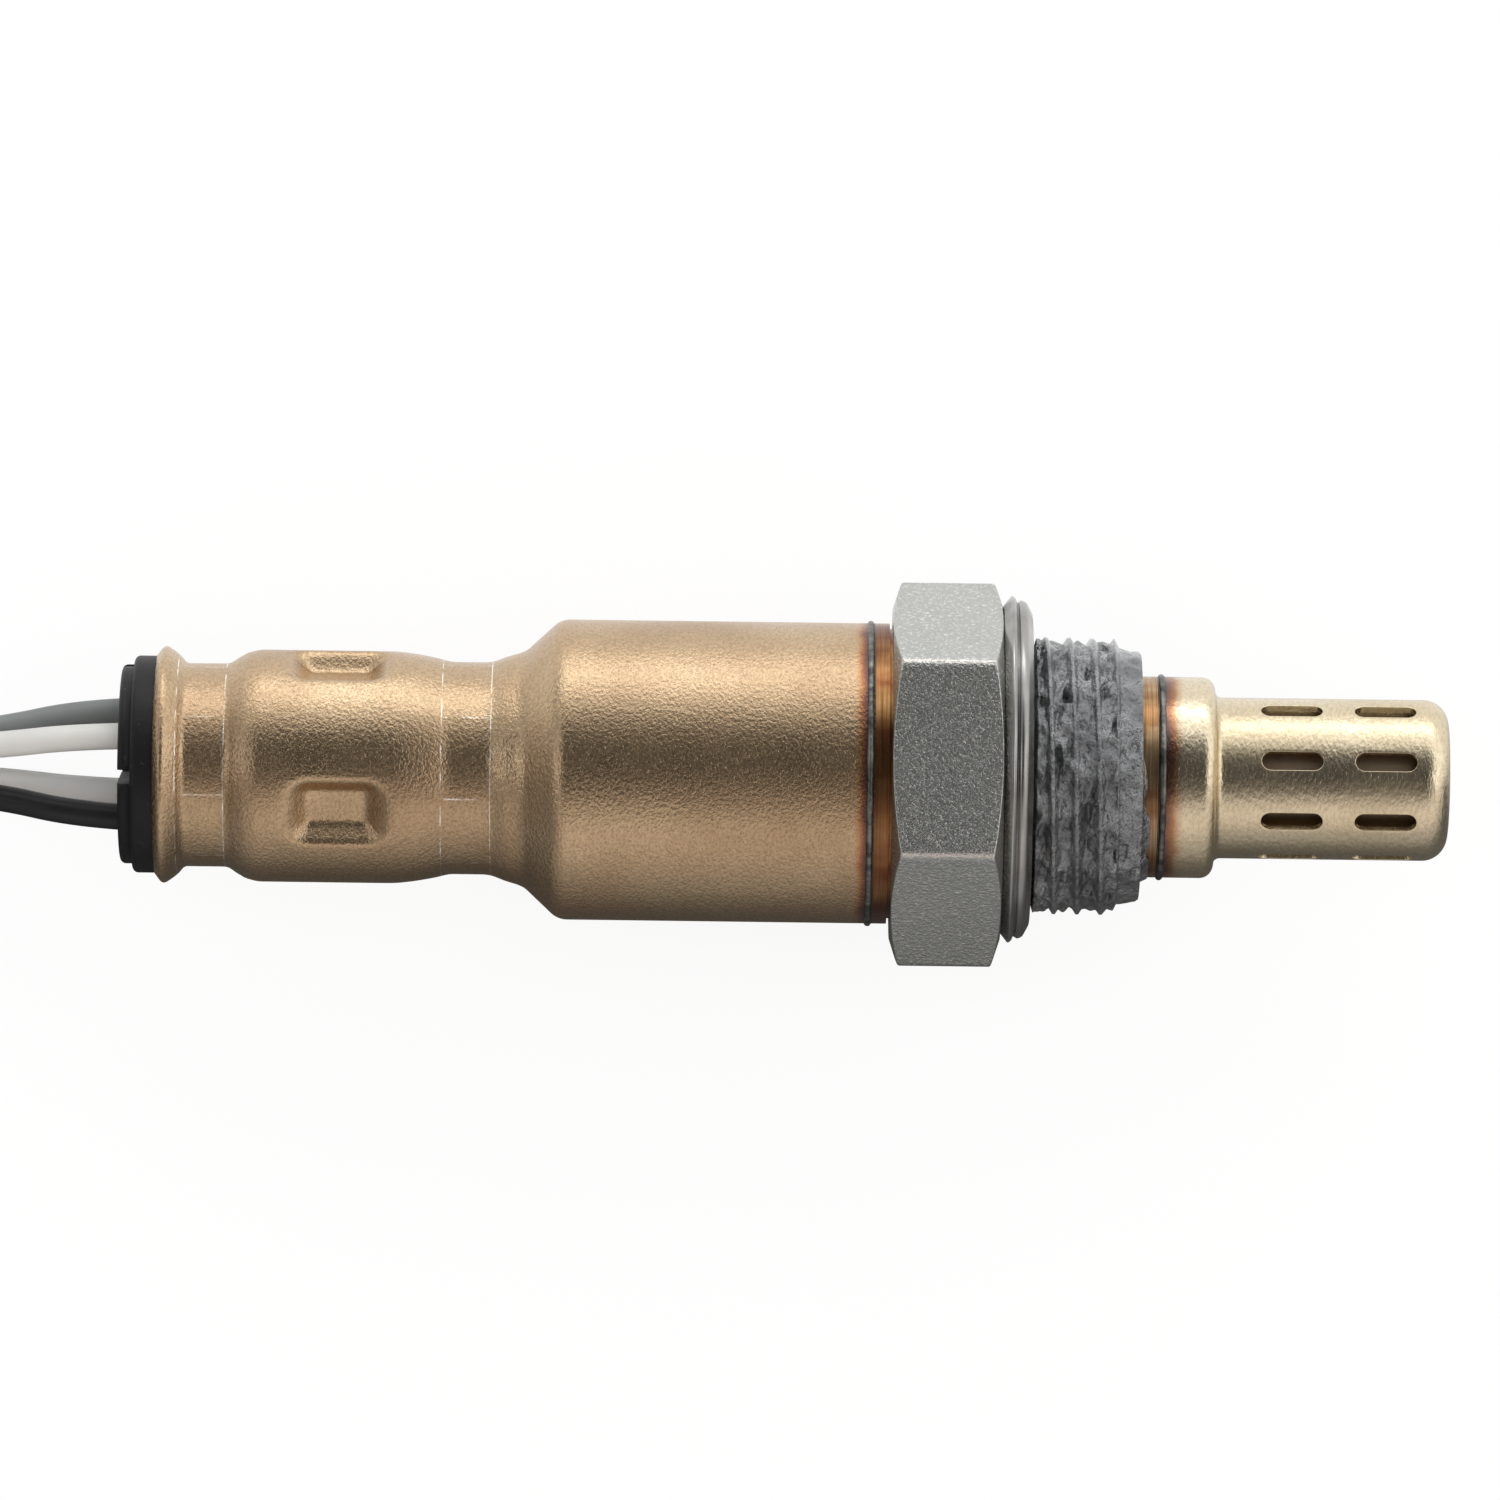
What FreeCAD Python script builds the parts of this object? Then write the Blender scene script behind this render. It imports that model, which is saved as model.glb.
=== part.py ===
# Heated oxygen sensor for an exhaust pipe, lying on one flat of its hex, its lead tied in a hank.
# Millimetres. +X runs along the sensor's axis towards its nose and +Z is up. The origin is on the
# axis, at the face of the gasket that seals on the exhaust boss.
import FreeCAD, Part
import math
import os

V = FreeCAD.Vector
X_AXIS = V(1, 0, 0)
ORIGIN = V(0, 0, 0)

# Clearances
slip = 0.03              # between pieces that slide together by hand
press = 0.01             # between pieces that are pressed or crimped together
past = 1.0               # how far a cutter reaches past what it cuts

# Hex shell
hex_across_flats = 21.6  # a nominal 22 mm hex, as forged
hex_corner_r = 12.35     # the blank just misses the hex's sharp corners
hex_width = 7.1
hex_chamfer = 0.55       # along the axis, at the corners
hex_face_inset = 0.15    # from the flats to the round edge of the hex's end faces
ring_r = 9.65            # turned ring that the sleeve butts against
ring_width = 0.9
ring_groove_width = 0.2
ring_groove_depth = 0.35
shell_collar_length = 5.4     # the part of the shell inside the sleeve
shell_collar_edge = 1.5
caulk_lip_length = 1.0
caulk_lip_bore_r = 5.1
shell_rear_bore_r = 6.4
shell_front_bore_r = 4.6
ledge_x = -0.6           # where the rear bore meets the 45 degree ledge

# Thread, left as a plain shaft of the thread's outer radius
thread_r = 8.9
thread_length = 7.0      # from the gasket's face to the end of the chamfer
thread_start_x = 0.35
thread_lead = 0.3        # length of the cone from the relief up to the thread
thread_relief_r = 8.0
thread_chamfer_length = 1.1
thread_chamfer_depth = 1.05
neck_r = 6.46
neck_length = 1.03
spigot_length = 2.27

# Folded gasket
gasket_thickness = 1.87
gasket_bore_r = 8.6      # under the thread's radius, so that the thread holds it on the shell
gasket_sheet = 0.44
gasket_lip_r = 11.19
gasket_lip_length = 0.62     # of the lip's cone, along the axis
gasket_lip_height = 0.72
gasket_bead_r = 10.85
gasket_offset_y = 0.38       # it sits loose round the relief, a little off the axis

# Outer sleeve, a drawn tube crimped twice and flared at the cable end
sleeve_wall = 0.55
sleeve_body_length = 20.2
sleeve_shoulder_length = 2.35
sleeve_neck_r = 7.46
sleeve_neck_length = 16.95
shoulder_outer_bend = 2.0
shoulder_inner_bend = 1.3
crimp_count = 8
front_crimp_length = 2.6
front_crimp_flat_r = 6.62
front_crimp_offset = 2.06    # from the shoulder's foot to the crimp
front_crimp_run_out = 1.7
bulge_run_out = 3.0
bulge_foot_length = 0.9
bulge_foot_rise = 0.27
rear_crimp_r = 7.12
rear_crimp_flat_r = 6.31
rear_crimp_length = 2.75
rear_crimp_run_out = 0.7
rear_crimp_lead = 0.3    # round tube between the rear crimp and the step up to the neck
rear_step_length = 1.35
flare_start = 0.8        # from the rear crimp to the foot of the flare
flare_length = 0.9
flare_r = 7.72
flare_lip_length = 0.55
flare_lip_r = 6.95
flare_lip_bend = 0.35
dimple_count = 4
dimple_first_angle = -30.0   # from +Z towards +Y
dimple_from_shoulder = 11.75
dimple_floor_r = 6.15
dimple_floor_length = 3.4
dimple_floor_width = 1.9
dimple_end_slope = 45.0
dimple_side_slope = 43.0
dimple_corner_r = 0.5
weld_bead_r = 0.27
weld_bead_proud = 0.16

# Protector tubes
protector_wall = 0.4
protector_collar_length = 3.75
protector_tube_r = 5.17
protector_end_x = 26.8
protector_tip_bend = 1.6
protector_step_bend = 0.85
protector_step_fillet = 0.44
protector_tip_hole_r = 1.25
slot_count = 8
slot_length = 3.93
slot_width = 1.2
slot_first_angle = 7.4
slot_row_x = (16.65, 22.65)
inner_protector_r = 3.9
inner_protector_wall = 0.35
inner_protector_tip_gap = 1.0
inner_hole_r = 0.6
inner_hole_count = 6
inner_hole_row_x = (13.2, 19.65)
inner_protector_tip_bend = 1.2
inner_protector_flange_bend = 0.6
inner_tip_hole_r = 0.8

# Ceramic element and heater
element_tip_x = 22.5
element_tip_r = 2.7
element_root_r = 3.35
element_flange_r = 6.2
element_flange_length = 4.4
element_rear_r = 4.1
element_rear_x = -19.8
element_bore_r = 1.95
element_bore_end = 1.4   # fillet at the bottom of the bore
element_end_wall = 1.0
element_root_cone = 0.6
element_bore_gap = 0.2   # between the flange's cone and the shell's front bore
heater_r = 1.5
heater_tip_gap = 0.5
heater_rear_x = -31.5
packing_thickness = 0.35
talc_length = 4.0
bush_length = 4.2

# Contacts and their carrier
wire_circle_r = 4.0
wire_angles = {"wire_white_a": 22.0, "wire_grey": 112.0, "wire_white_b": 202.0, "wire_black": 292.0}
carrier_rear_x = -50.0
carrier_length = 23.0
carrier_cup_gap = 2.0    # from the heater's rear end to the bottom of the carrier's cup
carrier_cup_r = 4.9
carrier_bore_r = 1.2
carrier_spring_sheet = 0.3
strip_thickness = 0.3
strip_width = 1.5
barrel_wall = 0.25
barrel_length = 4.0
barrel_inset = 1.0       # from the carrier's rear face to the barrel
barrel_floor = 0.8       # solid end of the barrel, where its leg starts
contact_bend = 0.6
contact_clip_length = 7.0
contact_slit = 1.0
leaf_seat_start = 1.2    # from the heater's rear end
leaf_seat_length = 2.4
leaf_tip_length = 0.8
leaf_tip_lift = 0.5
signal_leg_start = 5.0   # from the element's rear end
signal_leg_end = 1.9
ground_leg_start = 2.4
ground_leg_end = 0.6
ground_leg_overlap = 1.5

# Grommet
grommet_disc_r = 6.98
grommet_disc_length = 2.0
grommet_pad_r = 6.4
grommet_pad_height = 0.8
grommet_groove_width = 0.9
grommet_groove_angle = -13.2
grommet_edge = 0.35

# Wires and braided loom
wire_d = 1.7
loom_d = 5.0
collar_wall = 0.5
collar_length = 9.0
collar_overlap = 6.0     # how far the collar reaches over the loom
floor_z = -hex_across_flats / 2
wire_straight_x = -53.0  # where the bent part of each wire starts, inside the grommet
wire_middle = [(-60.0, 0.0), (-67.5, -0.5), (-77.0, -3.0), (-86.0, -6.4)]   # x and z between the four
wire_spread = [1.0, 0.53, 0.38, 0.33]   # share of the grommet's circle that is left at each of those points
bundle_x = -93.0         # where the four lie together
collar_front_x = -97.0
collar_axis_z = floor_z + loom_d / 2 + collar_wall
collar_bend = 0.8
collar_cone_length = 1.2

# Hank: a flat loop at each end, three runs through the tie between them
hank_right_x = -106.0
fold_r = 15.2            # centreline of the end loops
fold_flare_r = 16.0      # centreline of the bends that lead into them
run_spacing = 5.2
waist_length = 8.0
waist_lift = 1.1         # room for the tie under the runs
waist_overlap = 1.0      # how far each loop's plate reaches into the waist
tie_width = 3.6
tie_thickness = 1.0
tie_head_length = 4.6
tie_head_width = 4.2
tie_head_height = 4.2
tie_head_edge = 0.5

# Connector, lying on the hank
connector_length = 25.0
connector_width = 15.0
connector_height = 11.0
connector_edge = 1.6
connector_nose_length = 8.0
connector_nose_width = 11.4
connector_nose_height = 7.6
connector_hole = 1.9
connector_pitch_y = 5.4
connector_pitch_z = 3.4
connector_seal_wall = 1.1
connector_seal_length = 3.2
boot_length = 9.0
boot_overlap = 4.0
boot_tail_r = 2.85
terminal_size = 1.7
terminal_length = 16.0
terminal_wall = 0.3
lock_thickness = 1.4
latch_width = 5.6
latch_length = 17.0
latch_thickness = 1.4
latch_gap = 1.2
latch_overhang = 2.0
latch_foot_length = 2.2
latch_barb_length = 1.6
latch_barb_height = 0.9
lock_from_front = 6.0
lock_depth = 2.2
lock_proud = 0.2
socket_bore_start = 5.0  # from the socket's rear end
pocket_wall_y = 1.9
pocket_wall_z = 1.7
boot_shoulder = 1.5      # square part of the boot outside the housing
boot_grip = 5.0          # how far the loom reaches into the boot
boot_to_waist = 3.0

# Places along the axis, worked out from the sizes above
hex_front_x = -gasket_thickness
hex_rear_x = hex_front_x - hex_width
ring_front_x = hex_rear_x - ring_groove_width
sleeve_front_x = ring_front_x - ring_width
shell_rear_x = sleeve_front_x - shell_collar_length
shoulder_top_x = sleeve_front_x - sleeve_body_length
shoulder_foot_x = shoulder_top_x - sleeve_shoulder_length
neck_rear_x = shoulder_foot_x - sleeve_neck_length
rear_step_x = neck_rear_x - rear_step_length
rear_crimp_front_x = rear_step_x - rear_crimp_lead
rear_crimp_rear_x = rear_crimp_front_x - rear_crimp_length
flare_foot_x = rear_crimp_rear_x - flare_start
flare_end_x = flare_foot_x - flare_length
dimple_x = shoulder_foot_x - dimple_from_shoulder
front_crimp_front_x = shoulder_foot_x - front_crimp_offset
front_crimp_rear_x = front_crimp_front_x - front_crimp_length
neck_end_x = thread_length + neck_length
spigot_end_x = neck_end_x + spigot_length
protector_corner_x = neck_end_x + protector_collar_length
carrier_r = dimple_floor_r - sleeve_wall - slip
carrier_front_x = carrier_rear_x + carrier_length
barrel_rear_x = carrier_rear_x + barrel_inset
barrel_front_x = barrel_rear_x + barrel_length
wire_r = wire_d / 2
loom_r = loom_d / 2
loom_front_x = collar_front_x - collar_length + collar_overlap
loop_reach = math.sqrt((fold_r + fold_flare_r) ** 2 - (run_spacing / 2 + fold_flare_r) ** 2)
right_loop_x = hank_right_x - loom_r - fold_r
waist_right_x = right_loop_x - loop_reach
waist_left_x = waist_right_x - waist_length
left_loop_x = waist_left_x - loop_reach
waist_low_z = floor_z + loom_r + waist_lift
waist_high_z = waist_low_z + math.sqrt(loom_d ** 2 - (run_spacing / 2) ** 2)
connector_rear_x = waist_left_x - boot_to_waist - boot_length
connector_front_x = connector_rear_x - connector_length
connector_axis_z = floor_z + loom_d + connector_height / 2
boot_end_x = connector_rear_x + boot_length
pocket_width = connector_width - 2 * pocket_wall_y
pocket_height = connector_height - 2 * pocket_wall_z


def unit(vector):
    """The vector at length one."""
    return vector * (1.0 / vector.Length)


def rounded_path(points, radii):
    """Edges through the points: straight runs, with a tangent arc of the given radius at each corner."""
    edges = []
    here = points[0]
    for corner, after, radius in zip(points[1:-1], points[2:], radii):
        arriving = unit(corner - here)
        leaving = unit(after - corner)
        turn = math.acos(max(-1.0, min(1.0, arriving.dot(leaving))))
        if radius <= 0 or turn < 1e-6:
            edges.append(Part.LineSegment(here, corner).toShape())
            here = corner
            continue
        reach = radius * math.tan(turn / 2)
        start = corner - arriving * reach
        end = corner + leaving * reach
        inward = unit(leaving - arriving)
        middle = corner + inward * (radius / math.cos(turn / 2) - radius)
        if (start - here).Length > 1e-5:
            edges.append(Part.LineSegment(here, start).toShape())
        edges.append(Part.Arc(start, middle, end).toShape())
        here = end
    if (points[-1] - here).Length > 1e-5:
        edges.append(Part.LineSegment(here, points[-1]).toShape())
    return edges


def outline_face(corners):
    """A flat face in the XZ plane from corners given as (x, r) or (x, r, bend radius)."""
    points = [V(corner[0], 0, corner[1]) for corner in corners]
    radii = [corner[2] if len(corner) > 2 else 0 for corner in corners]
    start = (points[-1] + points[0]) * 0.5
    edges = rounded_path([start] + points + [start], radii)
    return Part.Face(Part.Wire(edges))


def turned(corners):
    """A solid of revolution about the axis."""
    return outline_face(corners).revolve(ORIGIN, X_AXIS, 360)


def sheet_outline(corners, wall):
    """Closed outline of bent sheet: the corners, and the same line offset by the wall to its right."""
    points = [V(corner[0], 0, corner[1]) for corner in corners]
    bends = [corner[2] if len(corner) > 2 else 0 for corner in corners]
    runs = [unit(b - a) for a, b in zip(points, points[1:])]
    sides = [V(run.z, 0, -run.x) for run in runs]
    offset = [points[0] + sides[0] * wall]
    offset_bends = [0]
    for index in range(1, len(points) - 1):
        before = sides[index - 1]
        after = sides[index]
        offset.append(points[index] + (before + after) * (wall / (1 + before.dot(after))))
        bends_right = runs[index].dot(before) > 0
        change = -wall if bends_right else wall
        offset_bends.append(max(bends[index] + change, 0) if bends[index] > 0 else 0)
    offset.append(points[-1] + sides[-1] * wall)
    offset_bends.append(0)
    near = [(point.x, point.z, bend) for point, bend in zip(points, bends)]
    far = [(point.x, point.z, bend) for point, bend in zip(offset, offset_bends)]
    return near + far[::-1]


def tube(outer_r, inner_r, start_x, end_x):
    """A plain ring or tube about the axis."""
    return turned([(start_x, inner_r), (end_x, inner_r), (end_x, outer_r), (start_x, outer_r)])


def about_axis(shape, angle):
    """A copy turned about the axis, from +Z towards +Y."""
    copy = shape.copy()
    copy.rotate(ORIGIN, X_AXIS, -angle)
    return copy


def box(low, high):
    """A box between two corners."""
    return Part.makeBox(high[0] - low[0], high[1] - low[1], high[2] - low[2], V(*low))


def on_circle(radius, angle):
    """The y and z of a point at the given radius and angle from +Z towards +Y."""
    return radius * math.sin(math.radians(angle)), radius * math.cos(math.radians(angle))


def rod(radius, start, end):
    """A round bar between two points."""
    return Part.makeCylinder(radius, (end - start).Length, start, end - start)


def swept(points, radii, section_r):
    """A round cord along a rounded path, checked against its section times its length."""
    path = Part.Wire(rounded_path(points, radii))
    first = unit(points[1] - points[0])
    ring = Part.Wire([Part.Circle(points[0], first, section_r).toShape()])
    solid = path.makePipeShell([ring], True, True)
    share = solid.Volume / (math.pi * section_r ** 2 * path.Length)
    print("  length %.1f, volume over section times length %.4f" % (path.Length, share))
    return solid


def bend_radii(name, points):
    """The largest arc at each corner that its two runs allow."""
    radii = []
    for before, corner, after in zip(points, points[1:], points[2:]):
        arriving = corner - before
        leaving = after - corner
        turn = arriving.getAngle(leaving)
        radii.append(0.45 * min(arriving.Length, leaving.Length) / math.tan(turn / 2))
    print(name, "bend radii", ", ".join("%.0f" % radius for radius in radii))
    return radii


def make_shell():
    """Hex, turned ring, threaded shaft and spigots in one piece, with a stepped bore."""
    collar_r = ring_r - sleeve_wall - slip
    body = turned([
        (shell_rear_x, 0), (spigot_end_x, 0), (spigot_end_x, spigot_r()), (neck_end_x, spigot_r()),
        (neck_end_x, neck_r), (thread_length, neck_r), (thread_length, thread_r - thread_chamfer_depth),
        (thread_length - thread_chamfer_length, thread_r), (thread_start_x, thread_r),
        (thread_start_x - thread_lead, thread_relief_r), (hex_front_x, thread_relief_r),
        (hex_rear_x, thread_relief_r), (hex_rear_x, ring_r - ring_groove_depth),
        (ring_front_x, ring_r - ring_groove_depth), (ring_front_x, ring_r), (sleeve_front_x, ring_r),
        (sleeve_front_x, collar_r), (shell_rear_x, collar_r, shell_collar_edge)])
    sharp_corner_r = hex_across_flats / 2 / math.cos(math.radians(30))
    flats = Part.makePolygon([V(hex_rear_x, *on_circle(sharp_corner_r, 30 + 60 * side)) for side in range(7)])
    prism = Part.Face(flats).extrude(V(hex_width, 0, 0))
    chamfer_foot_r = hex_across_flats / 2 - hex_face_inset
    blank = turned([
        (hex_rear_x, 0), (hex_rear_x, chamfer_foot_r), (hex_rear_x + hex_chamfer, hex_corner_r),
        (hex_front_x - hex_chamfer, hex_corner_r), (hex_front_x, chamfer_foot_r), (hex_front_x, 0)])
    cone_end_x = ledge_x + shell_rear_bore_r - shell_front_bore_r
    lip_x = shell_rear_x + caulk_lip_length
    bore = turned([
        (shell_rear_x - past, 0), (shell_rear_x - past, caulk_lip_bore_r), (lip_x, caulk_lip_bore_r),
        (lip_x, shell_rear_bore_r), (ledge_x, shell_rear_bore_r), (cone_end_x, shell_front_bore_r),
        (spigot_end_x + past, shell_front_bore_r), (spigot_end_x + past, 0)])
    return body.fuse(prism.common(blank)).cut(bore).removeSplitter()


def spigot_r():
    """Front spigot, which the outer protector's collar is pushed over."""
    return neck_r - protector_wall - slip


def make_gasket():
    """Three layers of one steel strip, folded inside and then outside, with a free lip at the hex."""
    half = gasket_sheet / 2
    layer_pitch = (gasket_thickness - gasket_sheet) / 2
    fold = layer_pitch / 2
    outer_fold = fold + half
    inner_fold = fold - half
    rear_x = -gasket_thickness
    middle_x = rear_x + layer_pitch + gasket_sheet
    front_edge_r = thread_r + gasket_offset_y + slip
    line = [
        (rear_x + gasket_lip_length, gasket_lip_r), (rear_x, gasket_lip_r - gasket_lip_height),
        (rear_x, gasket_bore_r, outer_fold), (middle_x, gasket_bore_r, outer_fold),
        (middle_x, gasket_bead_r - gasket_sheet, inner_fold),
        (-gasket_sheet, gasket_bead_r - gasket_sheet, inner_fold), (-gasket_sheet, front_edge_r)]
    folded = turned(sheet_outline(line, -gasket_sheet))
    folded.translate(V(0, gasket_offset_y, 0))
    return folded


def pressed_flats(depth_line, apex_r):
    """Cutters for the crimp's flats: all that lies outside the line of (x, r), once for each jaw."""
    top = apex_r + past
    corners = [(depth_line[0][0], top)] + depth_line + [(depth_line[-1][0], top)]
    slab = outline_face(corners)
    slab.translate(V(0, -apex_r, 0))
    cutter = slab.extrude(V(0, 2 * apex_r, 0))
    return [about_axis(cutter, 360.0 / crimp_count * jaw) for jaw in range(crimp_count)]


def front_crimp_line(inset):
    """Depth of the front crimp's flats, less the inset, with its long run-out into the bulge."""
    low = front_crimp_flat_r - inset
    high = sleeve_neck_r - inset + 0.01
    bulge_foot_x = front_crimp_rear_x - bulge_foot_length
    return [(front_crimp_front_x + front_crimp_run_out, high), (front_crimp_front_x, low, 2.5),
            (front_crimp_rear_x, low, 2.5), (bulge_foot_x, low + bulge_foot_rise, 4.0),
            (front_crimp_rear_x - bulge_run_out, high)]


def rear_crimp_line(inset):
    """Depth of the rear crimp's flats, less the inset."""
    low = rear_crimp_flat_r - inset
    high = rear_crimp_r - inset + 0.01
    return [(rear_crimp_front_x + rear_crimp_run_out, high), (rear_crimp_front_x, low, 0.5),
            (rear_crimp_rear_x, low, 0.5), (rear_crimp_rear_x - rear_crimp_run_out, high)]


def make_dimple(inset):
    """Blunt wedge that presses one dimple into the top of the sleeve, grown inwards by the inset."""
    height = sleeve_neck_r + past / 2 - dimple_floor_r + inset
    wires = []
    for level in (0, height):
        half_x = dimple_floor_length / 2 + inset * math.tan(math.radians(dimple_end_slope / 2))
        half_y = dimple_floor_width / 2 + inset * math.tan(math.radians(dimple_side_slope / 2))
        half_x += level / math.tan(math.radians(dimple_end_slope))
        half_y += level / math.tan(math.radians(dimple_side_slope))
        z = dimple_floor_r - inset + level
        rim = [V(dimple_x + sx * half_x, sy * half_y, z) for sx, sy in ((-1, -1), (1, -1), (1, 1), (-1, 1))]
        start = (rim[0] + rim[3]) * 0.5
        wires.append(Part.Wire(rounded_path([start] + rim + [start], [dimple_corner_r * (1 + level)] * 4)))
    return Part.makeLoft(wires, True, True)


def sleeve_line():
    """Outer line of the sleeve before it is crimped, from its flared end to the shell."""
    return [
        (flare_end_x, flare_r), (flare_foot_x, rear_crimp_r, 0.6),
        (rear_step_x, rear_crimp_r, 0.8), (neck_rear_x, sleeve_neck_r, 2.2),
        (shoulder_foot_x, sleeve_neck_r, shoulder_inner_bend),
        (shoulder_top_x, ring_r, shoulder_outer_bend), (sleeve_front_x, ring_r)]


def weld_bead(x, radius):
    """A bead of weld all round, as a torus that sits into the metal under it."""
    return Part.makeTorus(radius + weld_bead_proud - weld_bead_r, weld_bead_r, V(x, 0, 0), X_AXIS)


def make_sleeve():
    """Drawn tube: the solid outer form, crimped and dimpled, less the same form one wall smaller."""
    wall_outline = sheet_outline(sleeve_line(), sleeve_wall)
    count = len(sleeve_line())
    inner_line = wall_outline[count:][::-1]
    inner_mouth = extended(inner_line[1], inner_line[0], flare_lip_length)
    lip_x = flare_end_x - flare_lip_length
    outer_line = [(lip_x, 0), (lip_x, flare_lip_r), (flare_end_x, flare_r, flare_lip_bend)]
    outer_line += wall_outline[1:count] + [(sleeve_front_x, 0)]
    inner_line = [(inner_mouth[0], 0), inner_mouth] + inner_line[1:-1]
    inner_line += [(sleeve_front_x + past, ring_r - sleeve_wall), (sleeve_front_x + past, 0)]
    forms = []
    for line, inset in ((outer_line, 0), (inner_line, sleeve_wall)):
        form = turned(line)
        cutters = pressed_flats(front_crimp_line(inset), sleeve_neck_r)
        cutters += pressed_flats(rear_crimp_line(inset), rear_crimp_r)
        dimple = make_dimple(inset)
        cutters += [about_axis(dimple, dimple_first_angle + 360.0 / dimple_count * index)
                    for index in range(dimple_count)]
        for cutter in cutters:
            form = form.cut(cutter)
        forms.append(form)
    return forms[0].cut(forms[1]).fuse(weld_bead(sleeve_front_x - weld_bead_r - slip, ring_r))


def extended(before, end, length):
    """The end of a line carried on by a length along X."""
    slope = (end[1] - before[1]) / (end[0] - before[0])
    return end[0] - length, end[1] - length * slope


def make_outer_protector():
    """Drawn cup over the spigot, with its rows of slots and a hole in its tip."""
    line = [
        (neck_end_x, neck_r), (protector_corner_x, neck_r, protector_step_bend),
        (protector_corner_x, protector_tube_r, protector_step_fillet),
        (protector_end_x, protector_tube_r, protector_tip_bend), (protector_end_x, protector_tip_hole_r)]
    cup = turned(sheet_outline(line, protector_wall))
    half_run = (slot_length - slot_width) / 2
    top = protector_tube_r + past
    for row_x in slot_row_x:
        ends = [Part.makeCylinder(slot_width / 2, top, V(end_x, 0, 0))
                for end_x in (row_x - half_run, row_x + half_run)]
        middle = box((row_x - half_run, -slot_width / 2, 0), (row_x + half_run, slot_width / 2, top))
        cutter = ends[0].fuse([middle, ends[1]]).removeSplitter()
        for index in range(slot_count):
            cup = cup.cut(about_axis(cutter, slot_first_angle + 360.0 / slot_count * index))
    return cup.fuse(weld_bead(neck_end_x + weld_bead_r + slip, neck_r))


def make_inner_protector():
    """Inner cup, its flange clamped between the spigot's end and the outer cup's step."""
    flange_x = spigot_end_x + inner_protector_wall + press
    tip_x = protector_end_x - protector_wall - inner_protector_tip_gap
    line = [
        (flange_x, spigot_r() - slip), (flange_x, inner_protector_r, inner_protector_flange_bend),
        (tip_x, inner_protector_r, inner_protector_tip_bend), (tip_x, inner_tip_hole_r)]
    cup = turned(sheet_outline(line, inner_protector_wall))
    for row_x in inner_hole_row_x:
        drill = Part.makeCylinder(inner_hole_r, inner_protector_r + past, V(row_x, 0, 0))
        for index in range(inner_hole_count):
            cup = cup.cut(about_axis(drill, slot_first_angle + 360.0 / inner_hole_count * (index + 0.5)))
    return cup


def make_element():
    """Closed thimble of zirconia with a conical flange, open at the rear for the heater."""
    seat_sum = ledge_x + shell_rear_bore_r - packing_thickness * math.sqrt(2) - press * 2
    flange_front_x = seat_sum - element_flange_r
    cone_r = shell_front_bore_r - element_bore_gap
    cone_x = seat_sum - cone_r
    outer = turned([
        (element_rear_x, 0), (element_rear_x, element_rear_r), (flange_rear_x(), element_rear_r),
        (flange_rear_x(), element_flange_r), (flange_front_x, element_flange_r), (cone_x, cone_r),
        (cone_x + element_root_cone, element_root_r), (element_tip_x, element_tip_r, element_tip_r * 0.9),
        (element_tip_x, 0)])
    bore_tip_x = heater_tip_x() + heater_tip_gap
    bore = turned([(element_rear_x - past, 0), (element_rear_x - past, element_bore_r),
                   (bore_tip_x, element_bore_r, element_bore_end), (bore_tip_x, 0)])
    return outer.cut(bore)


def flange_rear_x():
    """Rear face of the element's flange."""
    seat_sum = ledge_x + shell_rear_bore_r - packing_thickness * math.sqrt(2)
    return seat_sum - element_flange_r - element_flange_length


def heater_tip_x():
    """Front end of the heater rod, just short of the bottom of the thimble's bore."""
    return element_tip_x - element_end_wall - heater_tip_gap


def make_packing_ring():
    """Conical metal washer between the shell's ledge and the element's flange."""
    outer_sum = ledge_x + shell_rear_bore_r - press
    inner_sum = outer_sum - packing_thickness * math.sqrt(2)
    low = shell_front_bore_r + slip
    high = element_flange_r
    return turned([(outer_sum - high, high), (outer_sum - low, low),
                   (inner_sum - low, low), (inner_sum - high, high)])


def seal_stack():
    """Powder seal, ceramic bush and caulking ring, one behind the other from the flange back."""
    stack = {}
    inner_r = element_rear_r + slip
    outer_r = shell_rear_bore_r - slip
    front_x = flange_rear_x() - press
    for name, length in (("talc_seal", talc_length), ("ceramic_bush", bush_length)):
        stack[name] = tube(outer_r, inner_r, front_x - length, front_x)
        front_x -= length + press
    lip_x = shell_rear_x + caulk_lip_length + press
    stack["caulking_ring"] = tube(outer_r, caulk_lip_bore_r, lip_x, front_x)
    return stack


def make_carrier():
    """Ceramic carrier with a bore for each contact and a cup over the heater's rear end."""
    cup_x = heater_rear_x - carrier_cup_gap
    body = turned([(carrier_rear_x, 0), (carrier_rear_x, carrier_r), (carrier_front_x, carrier_r),
                   (carrier_front_x, carrier_cup_r), (cup_x, carrier_cup_r), (cup_x, 0)])
    for angle in wire_angles.values():
        y, z = on_circle(wire_circle_r, angle)
        body = body.cut(rod(carrier_bore_r, V(carrier_rear_x - past, y, z), V(carrier_front_x, y, z)))
    return body


def make_carrier_spring():
    """Channel-shaped steel ring that grips the carrier inside the front crimp."""
    inner_r = carrier_r + press
    outer_r = front_crimp_flat_r - sleeve_wall - slip
    line = [(front_crimp_rear_x, outer_r), (front_crimp_rear_x, inner_r),
            (front_crimp_front_x, inner_r), (front_crimp_front_x, outer_r)]
    return turned(sheet_outline(line, -carrier_spring_sheet))


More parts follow.
